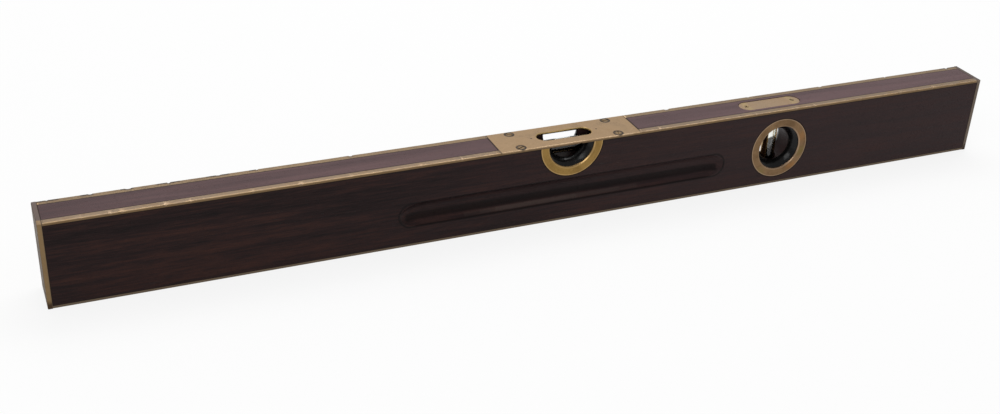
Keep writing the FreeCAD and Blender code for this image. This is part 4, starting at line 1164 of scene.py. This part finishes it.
@dataclass
class Mechanisms:
    """The tubes, hinges, adjusting screws and springs that carry the vials."""

    end_coil: float = 0.8 * MM

    def add_spring(self, name: str, material: bpy.types.Material) -> None:
        """Build the spring in place of its node, standing on its own.

        Args:
            name: Which vial it serves, level or plumb.
            material: What it is made of.
        """
        node = f"{name}_adjusting_spring"
        low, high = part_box(node)
        middle = (low + high) / 2
        add_piece(f"{name}_spring_coil", merged_copy(node), material, f"{name}_vial", (node,),
                  (Vector((middle.x, middle.y, low.z + self.end_coil)),
                   Vector((middle.x, middle.y, high.z - self.end_coil))))

    def build(self) -> None:
        """Dress every hidden piece."""
        tube = Brass("vial tube brass", metal=(0.50, 0.33, 0.15), patina_share=0.3,
                     roughness=(0.2, 0.35)).material()
        sheet = Brass("bracket brass", patina_share=0.5).material()
        steel = Plain("dull steel", light=(0.36, 0.35, 0.33), dark=(0.16, 0.13, 0.11), metallic=1.0,
                      roughness=(0.28, 0.5), grain=800.0)
        plaster = Plain("plaster", light=(0.78, 0.74, 0.66), dark=(0.55, 0.50, 0.42), metallic=0.0,
                        roughness=(0.75, 0.95), grain=900.0)
        dress(tube, "level_vial_tube", "level_vial_hinge_end", "level_vial_lug_end",
              "plumb_vial_tube", "plumb_vial_arm")
        steel_material = steel.material()
        for name in ("level", "plumb"):
            dress(sheet, f"{name}_hinge_bracket", f"{name}_adjuster_foot", f"{name}_adjusting_screw")
            self.add_spring(name, steel_material)
        dress(steel_material, "level_hinge_pin", "plumb_hinge_pin", "hinge_bracket_screws",
              "adjuster_foot_screws")
        dress(plaster.material(), "level_vial_plaster", "plumb_vial_plaster")


@dataclass
class Studio:
    """The pale floor, the soft lamps, the white surround and the camera."""

    camera_place: Triple = (-0.4197, -0.8193, 0.5117)
    camera_target: Triple = (-0.0590, -0.0225, 0.0269)
    camera_roll: float = 2.865
    camera_lens: float = 49.04
    camera_shift: tuple[float, float] = (-0.001, -0.0028)
    sensor_width: float = 36.0
    clip_start: float = 0.01
    lamps: tuple[tuple[str, Triple, tuple[float, float], float], ...] = (
        ("key", (-1.3, -1.2, 1.7), (1.6, 1.2), 16.0), ("top", (0.5, 0.9, 1.8), (2.2, 0.9), 22.0))
    floor_reach: float = 6.0
    floor_tone: Colour = (0.86, 0.86, 0.86)
    surround: float = 0.55
    floor_glow: float = 0.82

    def build(self) -> None:
        """Set the whole studio up."""
        self.add_camera()
        self.add_floor()
        self.add_surround()
        for name, place, size, power in self.lamps:
            self.add_lamp(name, place, size, power)

    def add_camera(self) -> None:
        """Stand the camera where the photograph was taken from."""
        data = bpy.data.cameras.new("camera")
        data.lens = self.camera_lens
        data.sensor_width = self.sensor_width
        data.shift_x, data.shift_y = self.camera_shift
        data.clip_start = self.clip_start
        camera = bpy.data.objects.new("camera", data)
        camera.location = self.camera_place
        look = (Vector(self.camera_target) - Vector(self.camera_place)).to_track_quat("-Z", "Y")
        roll = Quaternion((0.0, 0.0, 1.0), math.radians(self.camera_roll))
        camera.rotation_euler = (look @ roll).to_euler()
        bpy.context.scene.collection.objects.link(camera)
        bpy.context.scene.camera = camera

    def add_floor(self) -> None:
        """Lay the pale floor, which glows a little to the eye and keeps the shadow."""
        graph = Graph("pale floor")
        path = graph.node("ShaderNodeLightPath")
        seen = graph.sums("MAXIMUM", path.outputs["Is Camera Ray"], path.outputs["Is Glossy Ray"])
        matt = graph.node("ShaderNodeBsdfDiffuse", {"Color": self.floor_tone})
        glow = graph.node("ShaderNodeEmission", {"Color": (1.0, 1.0, 1.0), "Strength": 1.0})
        mix = graph.node("ShaderNodeMixShader", {0: graph.sums("MULTIPLY", seen, self.floor_glow),
                                                 1: matt.outputs["BSDF"],
                                                 2: glow.outputs["Emission"]})
        graph.feed(graph.output.inputs["Surface"], mix.outputs["Shader"])
        mesh = bmesh.new()
        bmesh.ops.create_grid(mesh, x_segments=1, y_segments=1, size=self.floor_reach)
        data = bpy.data.meshes.new("floor")
        mesh.to_mesh(data)
        mesh.free()
        data.materials.append(graph.material)
        floor = bpy.data.objects.new("floor", data)
        bpy.context.scene.collection.objects.link(floor)

    def add_surround(self) -> None:
        """Surround the studio with white to the eye and a softer fill."""
        world = bpy.data.worlds.new("surround")
        world.use_nodes = True
        bpy.context.scene.world = world
        tree = world.node_tree
        background = tree.nodes["Background"]
        path = tree.nodes.new("ShaderNodeLightPath")
        seen = tree.nodes.new("ShaderNodeMath")
        seen.operation = "MAXIMUM"
        tree.links.new(path.outputs["Is Camera Ray"], seen.inputs[0])
        tree.links.new(path.outputs["Is Transmission Ray"], seen.inputs[1])
        strength = tree.nodes.new("ShaderNodeMapRange")
        strength.inputs["To Min"].default_value = self.surround
        strength.inputs["To Max"].default_value = 1.0
        tree.links.new(seen.outputs["Value"], strength.inputs["Value"])
        background.inputs["Color"].default_value = (1.0, 1.0, 1.0, 1.0)
        tree.links.new(strength.outputs["Result"], background.inputs["Strength"])

    def add_lamp(self, name: str, place: Triple, size: tuple[float, float], power: float) -> None:
        """Hang one soft lamp that shines at the level.

        Args:
            name: The lamp's name.
            place: Where it hangs.
            size: Its length and breadth, in metres.
            power: Its power, in watts.
        """
        data = bpy.data.lights.new(name, "AREA")
        data.shape = "RECTANGLE"
        data.size, data.size_y = size
        data.energy = power
        lamp = bpy.data.objects.new(name, data)
        lamp.location = place
        lamp.rotation_euler = (-Vector(place)).to_track_quat("-Z", "Y").to_euler()
        bpy.context.scene.collection.objects.link(lamp)


def main() -> None:
    """Build and dress the level, then set up the studio."""
    bpy.context.scene.view_settings.view_transform = "Standard"
    # The vials' glass and spirit are painted dark below a height, as shade.
    level_glass = Clear("level glass", GLASS_TINT, GLASS_INDEX, dark=(0.10, 0.12, 0.10),
                        shade_below=60.0 * MM)
    level_spirit = Clear("level spirit", (0.80, 0.86, 0.55), SPIRIT_INDEX, shade_below=59.4 * MM)
    plumb_glass = Clear("plumb glass", GLASS_TINT, GLASS_INDEX, dark=(0.03, 0.033, 0.03),
                        shade_below=27.5 * MM, slant=PLUMB_SLANT, slant_across=PLUMB_PORT[0] * MM)
    plumb_spirit = Clear("plumb spirit", (0.92, 0.93, 0.84), SPIRIT_INDEX, shade_below=28.5 * MM,
                         slant=PLUMB_SLANT, slant_across=PLUMB_PORT[0] * MM)
    level = Vial("level_vial", level_glass.material(), level_spirit.material(), Axis.LENGTH,
                 bore=4.05 * MM, bubble=(6.5 * MM, 2.6 * MM, 1.0 * MM))
    plumb = Vial("plumb_vial", plumb_glass.material(), plumb_spirit.material(), Axis.HEIGHT,
                 bore=3.55 * MM, bubble=(2.4 * MM, 2.4 * MM, 2.0 * MM))
    for assembly in (Stock(), Binding(), TopPlate(), PlumbCover(), Ports(), Mechanisms(),
                     level, plumb, Studio()):
        assembly.build()


if __name__ == "__main__":
    main()
